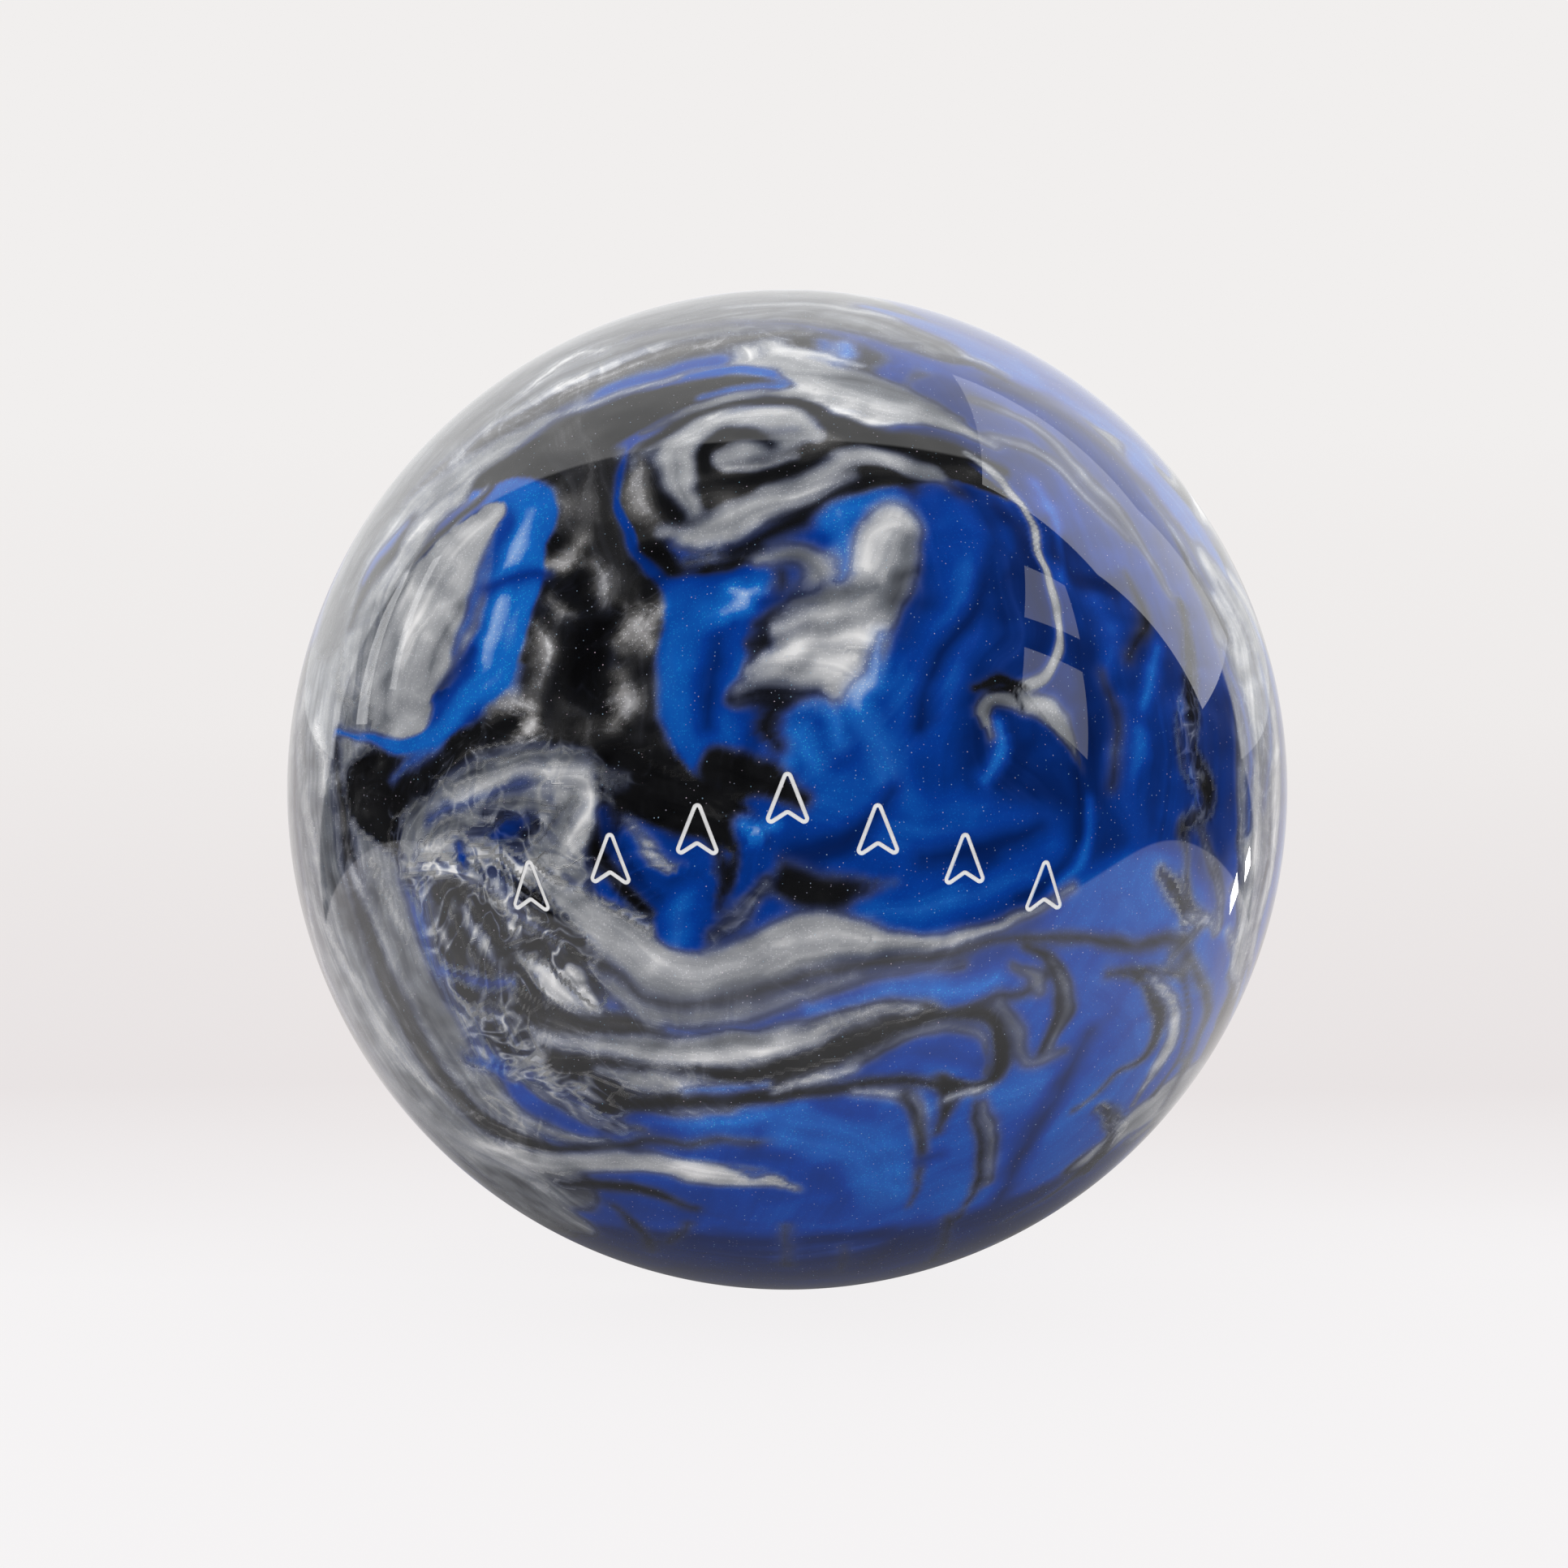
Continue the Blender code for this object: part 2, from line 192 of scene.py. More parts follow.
    (BLACK, 0.56, 1.0, 0.0, ((-0.47, 0.3, 0.03), (-0.5, 0.22, 0.04), (-0.48, 0.15, 0.03))),
    (BLACK, 0.74, 1.0, 0.0, ((-0.46, 0.685, 0.003), (-0.41, 0.69, 0.007), (-0.395, 0.65, 0.01),
        (-0.4, 0.58, 0.018), (-0.425, 0.51, 0.014))),
    (BLACK, 1.0, 0.8, 0.1, ((-0.49, 0.445, 0.014), (-0.45, 0.458, 0.03), (-0.42, 0.49, 0.014))),
    (BLACK, 0.84, 1.0, 0.1, ((-0.46, 0.59, 0.01), (-0.44, 0.57, 0.016), (-0.45, 0.54, 0.008))),
    (BLACK, 0.82, 1.0, 0.1, ((-0.385, 0.44, 0.014), (-0.37, 0.41, 0.028), (-0.365, 0.38, 0.014))),
    (BLACK, 0.94, 0.9, 0.1, ((-0.47, 0.375, 0.01), (-0.45, 0.355, 0.02), (-0.43, 0.35, 0.01))),
    (BLACK, 0.96, 0.9, 0.1, ((-0.5, 0.32, 0.01), (-0.487, 0.27, 0.022), (-0.5, 0.225, 0.012))),
    (BLACK, 0.98, 0.9, 0.1, ((-0.33, 0.305, 0.014), (-0.305, 0.325, 0.03), (-0.28, 0.3, 0.012))),
    (BLACK, 0.98, 0.9, 0.1, ((-0.265, 0.335, 0.01), (-0.24, 0.36, 0.018))),
    (BLACK, 0.98, 1.0, 0.1, ((-0.34, 0.225, 0.014), (-0.335, 0.18, 0.036), (-0.35, 0.15, 0.016))),
    (BLACK, 0.76, 1.0, 0.1, ((-0.545, 0.33, 0.004), (-0.535, 0.29, 0.008), (-0.55, 0.24, 0.004))),
    (BLACK, 1.0, 0.7, 0.1, ((-0.52, 0.155, 0.014), (-0.525, 0.125, 0.028), (-0.54, 0.11, 0.012))),
    (BLACK, 0.94, 0.9, 0.1, ((-0.59, 0.165, 0.012), (-0.56, 0.18, 0.02), (-0.53, 0.17, 0.008))),
    (BLACK, 0.74, 1.0, 0.0, ((-0.45, 0.175, 0.006), (-0.41, 0.16, 0.014), (-0.405, 0.12, 0.01))),
    (BLACK, 0.7, 1.0, 0.3, ((-0.7, 0.03, 0.006), (-0.6, 0.075, 0.014), (-0.5, 0.09, 0.008))),
    # silver patch at the upper left, with a blue band round it; the palest strokes in both are painted
    # highlights
    (SILVER, 0.74, 0.4, 0.0, ((-0.6, 0.55, 0.04), (-0.66, 0.46, 0.1), (-0.7, 0.37, 0.125),
        (-0.74, 0.28, 0.125), (-0.77, 0.19, 0.1), (-0.765, 0.13, 0.05))),
    (BLUE, 0.68, 0.3, 0.0, ((-0.62, 0.595, 0.01), (-0.54, 0.6, 0.035), (-0.5, 0.56, 0.045),
        (-0.52, 0.48, 0.042), (-0.535, 0.4, 0.045), (-0.56, 0.32, 0.045), (-0.59, 0.235, 0.04),
        (-0.65, 0.18, 0.024), (-0.69, 0.125, 0.022), (-0.76, 0.085, 0.018), (-0.83, 0.105, 0.01),
        (-0.9, 0.12, 0.006))),
    (BLUE, 0.46, 1.0, 0.0, ((-0.585, 0.5, 0.006), (-0.61, 0.43, 0.012), (-0.635, 0.35, 0.014),
        (-0.665, 0.28, 0.006))),
    (SILVER, 0.86, 0.7, 0.0, ((-0.6, 0.545, 0.014), (-0.64, 0.505, 0.018), (-0.68, 0.45, 0.01))),
    (SILVER, 0.76, 0.7, 0.0, ((-0.68, 0.43, 0.02), (-0.72, 0.37, 0.03), (-0.76, 0.3, 0.016))),
    (SILVER, 0.84, 0.7, 0.0, ((-0.71, 0.245, 0.01), (-0.715, 0.22, 0.02), (-0.74, 0.2, 0.01))),
    (SILVER, 0.7, 0.7, 0.0, ((-0.74, 0.15, 0.016), (-0.76, 0.14, 0.022), (-0.78, 0.16, 0.01))),
    (SILVER, 0.5, 0.7, 0.0, ((-0.78, 0.29, 0.01), (-0.8, 0.22, 0.016), (-0.8, 0.16, 0.01))),
    (SILVER, 0.56, 0.7, 0.0, ((-0.66, 0.345, 0.01), (-0.7, 0.27, 0.018), (-0.72, 0.22, 0.01))),
    (BLUE, 0.86, 1.0, 0.0, ((-0.515, 0.545, 0.01), (-0.54, 0.49, 0.02), (-0.57, 0.44, 0.012))),
    (BLUE, 0.92, 1.0, 0.0, ((-0.575, 0.385, 0.01), (-0.595, 0.32, 0.018), (-0.61, 0.275, 0.01))),
    (BLUE, 0.14, 1.0, 0.0, ((-0.49, 0.425, 0.004), (-0.54, 0.425, 0.008), (-0.59, 0.41, 0.004))),
    (BLUE, 0.1, 0.9, 0.0, ((-0.64, 0.27, 0.004), (-0.67, 0.235, 0.008), (-0.695, 0.205, 0.006))),
    (BLUE, 0.8, 1.0, 0.0, ((-0.71, 0.085, 0.006), (-0.75, 0.055, 0.01), (-0.78, 0.03, 0.004))),
    (SILVER, 0.95, 0.4, 0.0, ((-0.61, 0.6, 0.002), (-0.65, 0.553, 0.005), (-0.69, 0.505, 0.002))),
    (BLACK, 0.3, 0.4, 0.0, ((-0.6, 0.6, 0.005), (-0.68, 0.527, 0.008), (-0.75, 0.45, 0.004))),
    (BLACK, 0.36, 0.8, 0.0, ((-0.755, 0.53, 0.014), (-0.79, 0.475, 0.026), (-0.835, 0.42, 0.024),
        (-0.865, 0.35, 0.014))),
    (BLUE, 0.58, 0.8, 0.0, ((-0.765, 0.525, 0.008), (-0.8, 0.485, 0.017), (-0.835, 0.435, 0.01))),
    # dark oval, its silver curls and its blue outline; the palest dabs are painted highlights
    (BLACK, 0.64, 0.3, 0.0, ((-0.25, 0.58, 0.085), (-0.16, 0.61, 0.12), (-0.04, 0.635, 0.115),
        (0.08, 0.655, 0.095), (0.2, 0.66, 0.065), (0.31, 0.645, 0.04), (0.42, 0.6, 0.012))),
    (BLUE, 0.36, 0.3, 0.0, ((-0.315, 0.68, 0.004), (-0.335, 0.6, 0.008), (-0.325, 0.53, 0.01),
        (-0.29, 0.465, 0.014), (-0.23, 0.415, 0.018), (-0.14, 0.41, 0.016), (-0.06, 0.44, 0.012))),
    (BLACK, 0.26, 0.6, 0.0, ((-0.275, 0.48, 0.012), (-0.22, 0.43, 0.016), (-0.14, 0.435, 0.016),
        (-0.07, 0.47, 0.012))),
    (BLACK, 0.18, 0.5, 0.0, ((-0.29, 0.68, 0.006), (-0.22, 0.735, 0.01), (-0.1, 0.775, 0.012),
        (0.02, 0.775, 0.014), (0.1, 0.735, 0.022), (0.2, 0.7, 0.026), (0.32, 0.68, 0.022),
        (0.42, 0.64, 0.01))),
    (SILVER, 0.34, 0.5, 0.0, ((-0.28, 0.72, 0.003), (-0.18, 0.77, 0.006), (-0.06, 0.8, 0.007),
        (0.03, 0.795, 0.006))),
    (BLACK, 0.97, 1.0, 0.1, ((-0.29, 0.655, 0.01), (-0.285, 0.61, 0.032), (-0.275, 0.565, 0.022),
        (-0.25, 0.535, 0.01))),
    (BLACK, 0.24, 0.9, 0.0, ((-0.25, 0.67, 0.01), (-0.245, 0.6, 0.012), (-0.22, 0.55, 0.016),
        (-0.16, 0.54, 0.01))),
    (SILVER, 0.68, 0.8, 0.0, ((-0.195, 0.56, 0.014), (-0.212, 0.625, 0.026), (-0.215, 0.675, 0.036),
        (-0.17, 0.71, 0.03), (-0.11, 0.735, 0.024), (-0.04, 0.748, 0.03), (0.02, 0.745, 0.026),
        (0.055, 0.722, 0.014))),
    (SILVER, 0.84, 0.8, 0.0, ((-0.13, 0.74, 0.004), (-0.05, 0.76, 0.008), (0.01, 0.755, 0.008),
        (0.04, 0.74, 0.004))),
    (SILVER, 0.78, 0.9, 0.0, ((-0.235, 0.665, 0.006), (-0.22, 0.685, 0.01), (-0.19, 0.7, 0.006))),
    (SILVER, 0.66, 0.9, 0.0, ((-0.125, 0.665, 0.016), (-0.08, 0.683, 0.022), (-0.02, 0.7, 0.024),
        (0.03, 0.712, 0.014))),
    (BLACK, 0.3, 0.6, 0.0, ((-0.165, 0.645, 0.012), (-0.165, 0.68, 0.014), (-0.125, 0.715, 0.014),
        (-0.075, 0.715, 0.012), (-0.045, 0.7, 0.008))),
    (SILVER, 0.9, 0.7, 0.1, ((-0.11, 0.642, 0.004), (-0.06, 0.65, 0.007), (0.0, 0.665, 0.004))),
    (BLACK, 0.26, 0.9, 0.0, ((-0.16, 0.605, 0.008), (-0.06, 0.625, 0.012), (0.06, 0.66, 0.016),
        (0.2, 0.685, 0.014), (0.32, 0.665, 0.01))),
    (SILVER, 0.5, 0.9, 0.0, ((-0.03, 0.6, 0.008), (0.05, 0.625, 0.014), (0.13, 0.665, 0.016),
        (0.21, 0.66, 0.018), (0.28, 0.63, 0.02), (0.31, 0.605, 0.012))),
    (SILVER, 0.78, 1.0, 0.0, ((0.12, 0.672, 0.003), (0.2, 0.665, 0.007), (0.26, 0.64, 0.004))),
    (SILVER, 0.7, 0.9, 0.0, ((-0.24, 0.515, 0.008), (-0.19, 0.5, 0.024), (-0.13, 0.525, 0.032),
        (-0.06, 0.555, 0.032), (0.01, 0.575, 0.026), (0.07, 0.6, 0.018), (0.12, 0.62, 0.008))),
    (SILVER, 0.99, 0.8, 0.1, ((-0.2, 0.495, 0.006), (-0.165, 0.49, 0.012), (-0.12, 0.502, 0.008),
        (-0.07, 0.525, 0.004))),
    (BLACK, 0.85, 1.0, 0.3, ((-0.19, 0.455, 0.008), (-0.15, 0.46, 0.014), (-0.11, 0.465, 0.006))),
    (BLACK, 0.32, 0.9, 0.0, ((-0.1, 0.48, 0.012), (-0.02, 0.515, 0.018), (0.06, 0.56, 0.018),
        (0.14, 0.61, 0.014), (0.22, 0.615, 0.014), (0.27, 0.585, 0.016), (0.33, 0.585, 0.008))),
    # blues of the middle; the palest dabs are painted highlights
    (BLUE, 0.54, 0.5, 0.0, ((-0.2, 0.375, 0.04), (-0.18, 0.27, 0.07), (-0.17, 0.15, 0.07),
        (-0.14, 0.06, 0.05))),
    (BLUE, 0.52, 0.5, 0.0, ((-0.14, 0.375, 0.045), (-0.04, 0.4, 0.04), (-0.04, 0.34, 0.04),
        (-0.08, 0.26, 0.03))),
    (BLUE, 0.62, 1.0, 0.0, ((-0.22, 0.3, 0.016), (-0.23, 0.22, 0.022), (-0.22, 0.14, 0.016))),
    (BLUE, 0.18, 1.0, 0.0, ((-0.14, 0.3, 0.012), (-0.15, 0.22, 0.018), (-0.155, 0.14, 0.012))),
    (BLUE, 0.66, 1.0, 0.0, ((-0.14, 0.36, 0.016), (-0.09, 0.38, 0.022), (-0.03, 0.4, 0.012))),
    (BLUE, 0.99, 0.9, 0.1, ((-0.1, 0.395, 0.006), (-0.082, 0.388, 0.01), (-0.07, 0.392, 0.004))),
    (BLUE, 0.95, 0.9, 0.1, ((-0.105, 0.362, 0.004), (-0.09, 0.366, 0.008))),
    (BLACK, 0.4, 1.0, 0.0, ((-0.01, 0.42, 0.012), (-0.02, 0.34, 0.016), (-0.05, 0.26, 0.02),
        (-0.06, 0.2, 0.022), (0.0, 0.185, 0.014), (0.1, 0.185, 0.01))),
    (BLUE, 0.5, 0.9, 0.0, ((0.3, 0.54, 0.06), (0.33, 0.42, 0.09), (0.3, 0.28, 0.08), (0.22, 0.16, 0.1),
        (0.1, 0.06, 0.1))),
    (BLUE, 0.66, 1.0, 0.0, ((0.36, 0.42, 0.018), (0.355, 0.35, 0.03), (0.31, 0.29, 0.022),
        (0.28, 0.23, 0.01))),
    (BLUE, 0.36, 1.0, 0.0, ((0.24, 0.48, 0.02), (0.26, 0.4, 0.026), (0.23, 0.32, 0.018))),
    (BLUE, 0.16, 1.0, 0.0, ((0.4, 0.47, 0.01), (0.385, 0.37, 0.018), (0.33, 0.3, 0.012),
        (0.285, 0.22, 0.014), (0.265, 0.13, 0.01))),
    (BLUE, 0.74, 0.9, 0.0, ((0.09, 0.545, 0.016), (0.14, 0.565, 0.026), (0.2, 0.57, 0.022),
        (0.24, 0.55, 0.01))),
    # feathered silver patch right of the middle, with painted highlights in its palest strokes
    (SILVER, 0.76, 1.0, 0.0, ((0.21, 0.525, 0.045), (0.185, 0.465, 0.062), (0.14, 0.41, 0.078),
        (0.105, 0.355, 0.092), (0.08, 0.3, 0.1), (0.05, 0.255, 0.092), (0.0, 0.225, 0.05),
        (-0.07, 0.2, 0.02))),
    (SILVER, 0.42, 1.0, 0.0, ((0.235, 0.5, 0.012), (0.22, 0.43, 0.02), (0.19, 0.37, 0.014))),
    (SILVER, 0.6, 0.9, 0.0, ((-0.045, 0.462, 0.012), (0.0, 0.473, 0.018), (0.04, 0.465, 0.022),
        (0.07, 0.43, 0.018), (0.08, 0.39, 0.016))),
    (BLUE, 0.74, 1.0, 0.0, ((0.105, 0.545, 0.018), (0.115, 0.5, 0.02), (0.112, 0.455, 0.016),
        (0.1, 0.425, 0.008))),
    (SILVER, 0.96, 1.0, 0.0, ((0.2, 0.53, 0.012), (0.165, 0.505, 0.018), (0.15, 0.455, 0.014))),
    (BLUE, 0.2, 1.0, 0.0, ((-0.03, 0.375, 0.006), (0.01, 0.378, 0.008), (0.045, 0.39, 0.004))),
    (BLACK, 0.34, 1.0, 0.0, ((-0.04, 0.335, 0.006), (0.0, 0.345, 0.009), (0.04, 0.362, 0.004))),
    (BLACK, 0.38, 1.0, 0.0, ((-0.05, 0.295, 0.006), (-0.015, 0.305, 0.009), (0.025, 0.32, 0.003))),
    (SILVER, 0.38, 1.0, 0.0, ((0.03, 0.372, 0.004), (0.09, 0.385, 0.008), (0.15, 0.405, 0.005))),
    (SILVER, 0.9, 1.0, 0.0, ((0.0, 0.325, 0.004), (0.05, 0.338, 0.01), (0.11, 0.35, 0.009),
        (0.16, 0.355, 0.004))),
    (SILVER, 0.4, 1.0, 0.0, ((0.01, 0.303, 0.003), (0.06, 0.315, 0.006), (0.1, 0.325, 0.003))),
    (SILVER, 1.0, 1.0, 0.0, ((0.05, 0.29, 0.01), (0.11, 0.303, 0.024), (0.16, 0.296, 0.012))),
    (SILVER, 0.46, 1.0, 0.0, ((0.07, 0.268, 0.003), (0.12, 0.277, 0.005), (0.16, 0.274, 0.003))),
    (SILVER, 0.98, 1.0, 0.0, ((-0.02, 0.258, 0.006), (0.05, 0.262, 0.018), (0.1, 0.248, 0.018),
        (0.13, 0.225, 0.008))),
    (SILVER, 0.7, 1.0, 0.0, ((-0.06, 0.245, 0.004), (-0.02, 0.25, 0.008), (0.02, 0.245, 0.005))),
    (SILVER, 0.84, 1.0, 0.0, ((0.03, 0.222, 0.004), (0.08, 0.22, 0.009), (0.11, 0.208, 0.005))),
    (BLACK, 0.3, 1.0, 0.0, ((-0.09, 0.185, 0.006), (-0.03, 0.195, 0.012), (0.04, 0.192, 0.008))),
    (BLUE, 0.88, 1.0, 0.0, ((0.175, 0.3, 0.006), (0.165, 0.24, 0.018), (0.14, 0.19, 0.018),
        (0.155, 0.14, 0.01))),
    (BLUE, 0.82, 0.9, 0.1, ((0.01, 0.15, 0.008), (0.05, 0.17, 0.012), (0.09, 0.155, 0.012),
        (0.1, 0.11, 0.008))),
    (BLUE, 0.8, 1.0, 0.0, ((0.0, 0.06, 0.018), (0.02, 0.1, 0.024), (0.05, 0.06, 0.014))),
    (BLUE, 0.66, 1.0, 0.0, ((0.16, 0.12, 0.018), (0.2, 0.04, 0.03), (0.22, -0.04, 0.018))),
    (BLACK, 0.22, 0.9, 0.0, ((-0.02, 0.155, 0.014), (-0.035, 0.12, 0.02), (-0.02, 0.09, 0.01))),
    # right side: the silver thread and its drop, painted highlights and darks of the deep blue
    (BLUE, 0.26, 1.0, 0.0, ((0.44, 0.42, 0.05), (0.46, 0.3, 0.06), (0.4, 0.2, 0.05), (0.42, 0.06, 0.07),
        (0.5, -0.02, 0.05))),
    (BLUE, 0.12, 0.9, 0.0, ((0.42, 0.56, 0.008), (0.47, 0.5, 0.016), (0.49, 0.4, 0.016), (0.51, 0.32, 0.014),
        (0.49, 0.26, 0.01))),
    (SILVER, 0.7, 0.1, 0.0, ((0.36, 0.668, 0.007), (0.43, 0.615, 0.009), (0.475, 0.56, 0.009),
        (0.505, 0.465, 0.01), (0.535, 0.365, 0.011), (0.545, 0.31, 0.011), (0.53, 0.258, 0.011),
        (0.5, 0.225, 0.012), (0.46, 0.2, 0.012))),
    (BLACK, 0.36, 0.3, 0.0, ((0.38, 0.205, 0.008), (0.42, 0.215, 0.012), (0.46, 0.205, 0.008))),
    (SILVER, 0.54, 0.4, 0.0, ((0.395, 0.11, 0.008), (0.382, 0.145, 0.016), (0.405, 0.178, 0.016),
        (0.455, 0.172, 0.016), (0.51, 0.165, 0.022), (0.55, 0.12, 0.018), (0.585, 0.05, 0.006))),
    (SILVER, 0.86, 0.9, 0.0, ((0.48, 0.165, 0.006), (0.52, 0.17, 0.01), (0.55, 0.15, 0.006))),
    (BLACK, 0.3, 0.2, 0.0, ((0.415, 0.195, 0.003), (0.45, 0.19, 0.005), (0.462, 0.17, 0.003))),
    (BLUE, 0.94, 0.9, 0.1, ((0.42, 0.108, 0.006), (0.425, 0.07, 0.012), (0.4, 0.03, 0.006))),
    (BLUE, 0.78, 0.9, 0.0, ((0.5, 0.6, 0.004), (0.53, 0.54, 0.01), (0.555, 0.46, 0.01),
        (0.55, 0.43, 0.004))),
    (BLUE, 0.08, 0.8, 0.0, ((0.515, 0.54, 0.004), (0.535, 0.48, 0.006))),
    (BLUE, 0.1, 0.9, 0.0, ((0.555, 0.5, 0.006), (0.57, 0.435, 0.01), (0.63, 0.405, 0.014),
        (0.67, 0.42, 0.008))),
    (BLUE, 0.56, 1.0, 0.0, ((0.62, 0.37, 0.018), (0.65, 0.31, 0.03), (0.64, 0.24, 0.014))),
    (BLUE, 0.24, 1.0, 0.0, ((0.59, 0.28, 0.02), (0.61, 0.12, 0.03), (0.62, -0.02, 0.03))),
    (BLACK, 0.45, 1.0, 0.0, ((0.68, 0.42, 0.01), (0.71, 0.34, 0.02), (0.69, 0.28, 0.01))),
    (BLUE, 0.8, 1.0, 0.0, ((0.74, 0.265, 0.006), (0.733, 0.235, 0.012), (0.715, 0.18, 0.01))),
    (BLUE, 0.82, 1.0, 0.0, ((0.7, 0.1, 0.008), (0.695, 0.07, 0.014), (0.685, 0.03, 0.008))),
    (BLUE, 0.44, 1.0, 0.0, ((0.68, 0.16, 0.02), (0.67, 0.02, 0.03), (0.7, -0.08, 0.02))),
    (BLACK, 0.3, 0.9, 0.4, ((0.79, 0.36, 0.01), (0.81, 0.22, 0.022), (0.8, 0.08, 0.034), (0.84, -0.02, 0.03),
        (0.8, -0.08, 0.012))),
    (BLUE, 0.52, 1.0, 0.5, ((0.79, 0.16, 0.01), (0.8, 0.06, 0.012), (0.82, -0.02, 0.008))),
    (BLACK, 0.4, 1.0, 0.0, ((0.64, 0.22, 0.006), (0.66, 0.14, 0.01), (0.65, 0.02, 0.008))),
    (BLUE, 0.08, 0.5, 0.0, ((0.575, 0.02, 0.004), (0.58, -0.05, 0.007), (0.572, -0.12, 0.007),
        (0.54, -0.165, 0.006), (0.47, -0.2, 0.004))),
    (BLUE, 0.76, 0.9, 0.0, ((0.6, -0.04, 0.004), (0.595, -0.11, 0.008), (0.575, -0.155, 0.008),
        (0.54, -0.185, 0.004))),
    # lower middle: black round the blue tongue
    (BLUE, 0.52, 0.9, 0.0, ((0.1, -0.04, 0.05), (0.24, -0.08, 0.06), (0.38, -0.08, 0.06),
        (0.5, -0.08, 0.04))),
    (BLUE, 0.16, 1.0, 0.0, ((0.2, -0.01, 0.012), (0.12, -0.1, 0.018), (0.02, -0.145, 0.02))),
    (BLACK, 0.3, 0.5, 0.15, ((-0.34, 0.04, 0.05), (-0.24, -0.02, 0.055), (-0.14, -0.05, 0.05),
        (-0.08, -0.11, 0.04), (-0.09, -0.18, 0.03))),
    (BLACK, 0.34, 0.6, 0.1, ((-0.12, 0.04, 0.04), (-0.04, 0.02, 0.03), (0.02, -0.02, 0.016))),
    (BLACK, 0.46, 0.8, 0.1, ((-0.06, -0.16, 0.03), (0.04, -0.2, 0.04), (0.14, -0.215, 0.03),
        (0.2, -0.2, 0.014))),
    (BLUE, 0.46, 0.8, 0.0, ((0.16, -0.24, 0.025), (0.28, -0.215, 0.05), (0.4, -0.17, 0.055),
        (0.5, -0.12, 0.03))),
    (BLUE, 0.6, 1.0, 0.0, ((0.17, -0.245, 0.008), (0.27, -0.235, 0.012), (0.38, -0.205, 0.01),
        (0.47, -0.17, 0.004))),
    (BLUE, 0.22, 1.0, 0.0, ((0.28, -0.13, 0.016), (0.4, -0.12, 0.024), (0.5, -0.08, 0.014))),
    # lower left: silver hood over a broken swirl, with painted highlights on its palest drops
    (BLACK, 0.44, 0.7, 0.6, ((-0.76, -0.1, 0.05), (-0.68, -0.22, 0.09), (-0.6, -0.36, 0.12),
        (-0.5, -0.5, 0.12), (-0.4, -0.58, 0.09))),
    (BLACK, 0.42, 0.7, 0.8, ((-0.62, -0.18, 0.09), (-0.52, -0.26, 0.11), (-0.46, -0.36, 0.09))),
    (SILVER, 0.52, 0.9, 0.5, ((-0.72, -0.1, 0.05), (-0.6, -0.08, 0.08), (-0.5, -0.09, 0.08),
        (-0.44, -0.14, 0.05))),
    (SILVER, 0.54, 0.7, 0.25, ((-0.76, -0.14, 0.02), (-0.745, -0.07, 0.035), (-0.68, -0.02, 0.045),
        (-0.59, 0.01, 0.05), (-0.49, 0.03, 0.045), (-0.41, 0.01, 0.045), (-0.39, -0.06, 0.04),
        (-0.44, -0.11, 0.03))),
    (SILVER, 0.88, 0.9, 0.1, ((-0.46, 0.035, 0.014), (-0.41, 0.02, 0.024), (-0.395, -0.03, 0.024),
        (-0.43, -0.08, 0.014))),
    (SILVER, 0.34, 1.0, 0.2, ((-0.66, 0.03, 0.006), (-0.56, 0.055, 0.012), (-0.44, 0.07, 0.01),
        (-0.34, 0.03, 0.006))),
    (BLUE, 0.4, 0.9, 0.2, ((-0.71, -0.05, 0.008), (-0.63, -0.01, 0.01), (-0.54, 0.015, 0.006))),
    (SILVER, 0.26, 0.9, 0.2, ((-0.7, -0.09, 0.01), (-0.63, -0.05, 0.016), (-0.54, -0.03, 0.014),
        (-0.48, -0.03, 0.006))),
    (BLACK, 0.4, 0.8, 0.3, ((-0.6, -0.05, 0.01), (-0.56, -0.075, 0.022), (-0.52, -0.07, 0.012))),
    (SILVER, 0.8, 0.9, 0.1, ((-0.66, -0.01, 0.006), (-0.58, 0.03, 0.012), (-0.49, 0.045, 0.012),
        (-0.42, 0.04, 0.006))),
    (SILVER, 0.78, 0.9, 0.2, ((-0.72, -0.12, 0.01), (-0.67, -0.11, 0.016), (-0.61, -0.13, 0.012))),
    (SILVER, 0.3, 0.9, 0.2, ((-0.52, -0.12, 0.01), (-0.47, -0.08, 0.016), (-0.44, -0.03, 0.01))),
    (BLACK, 0.3, 0.5, 0.3, ((-0.38, 0.02, 0.006), (-0.35, -0.05, 0.02), (-0.37, -0.11, 0.02),
        (-0.33, -0.17, 0.02), (-0.28, -0.23, 0.016))),
    (BLUE, 0.3, 0.7, 0.2, ((-0.36, -0.05, 0.01), (-0.345, -0.1, 0.014), (-0.31, -0.15, 0.016),
        (-0.26, -0.19, 0.012))),
    (SILVER, 0.86, 0.7, 0.4, ((-0.31, -0.07, 0.004), (-0.27, -0.12, 0.01), (-0.22, -0.155, 0.008),
        (-0.17, -0.17, 0.004))),
    (SILVER, 0.74, 0.7, 0.7, ((-0.74, -0.16, 0.012), (-0.69, -0.16, 0.024), (-0.63, -0.18, 0.022),
        (-0.57, -0.22, 0.016), (-0.55, -0.27, 0.01))),
    (SILVER, 0.82, 0.7, 0.7, ((-0.57, -0.13, 0.012), (-0.52, -0.16, 0.022), (-0.46, -0.2, 0.024),
        (-0.38, -0.235, 0.026), (-0.31, -0.27, 0.03))),
    (SILVER, 0.66, 0.8, 0.8, ((-0.6, -0.16, 0.016), (-0.56, -0.22, 0.02), (-0.51, -0.27, 0.014),
        (-0.46, -0.3, 0.01))),
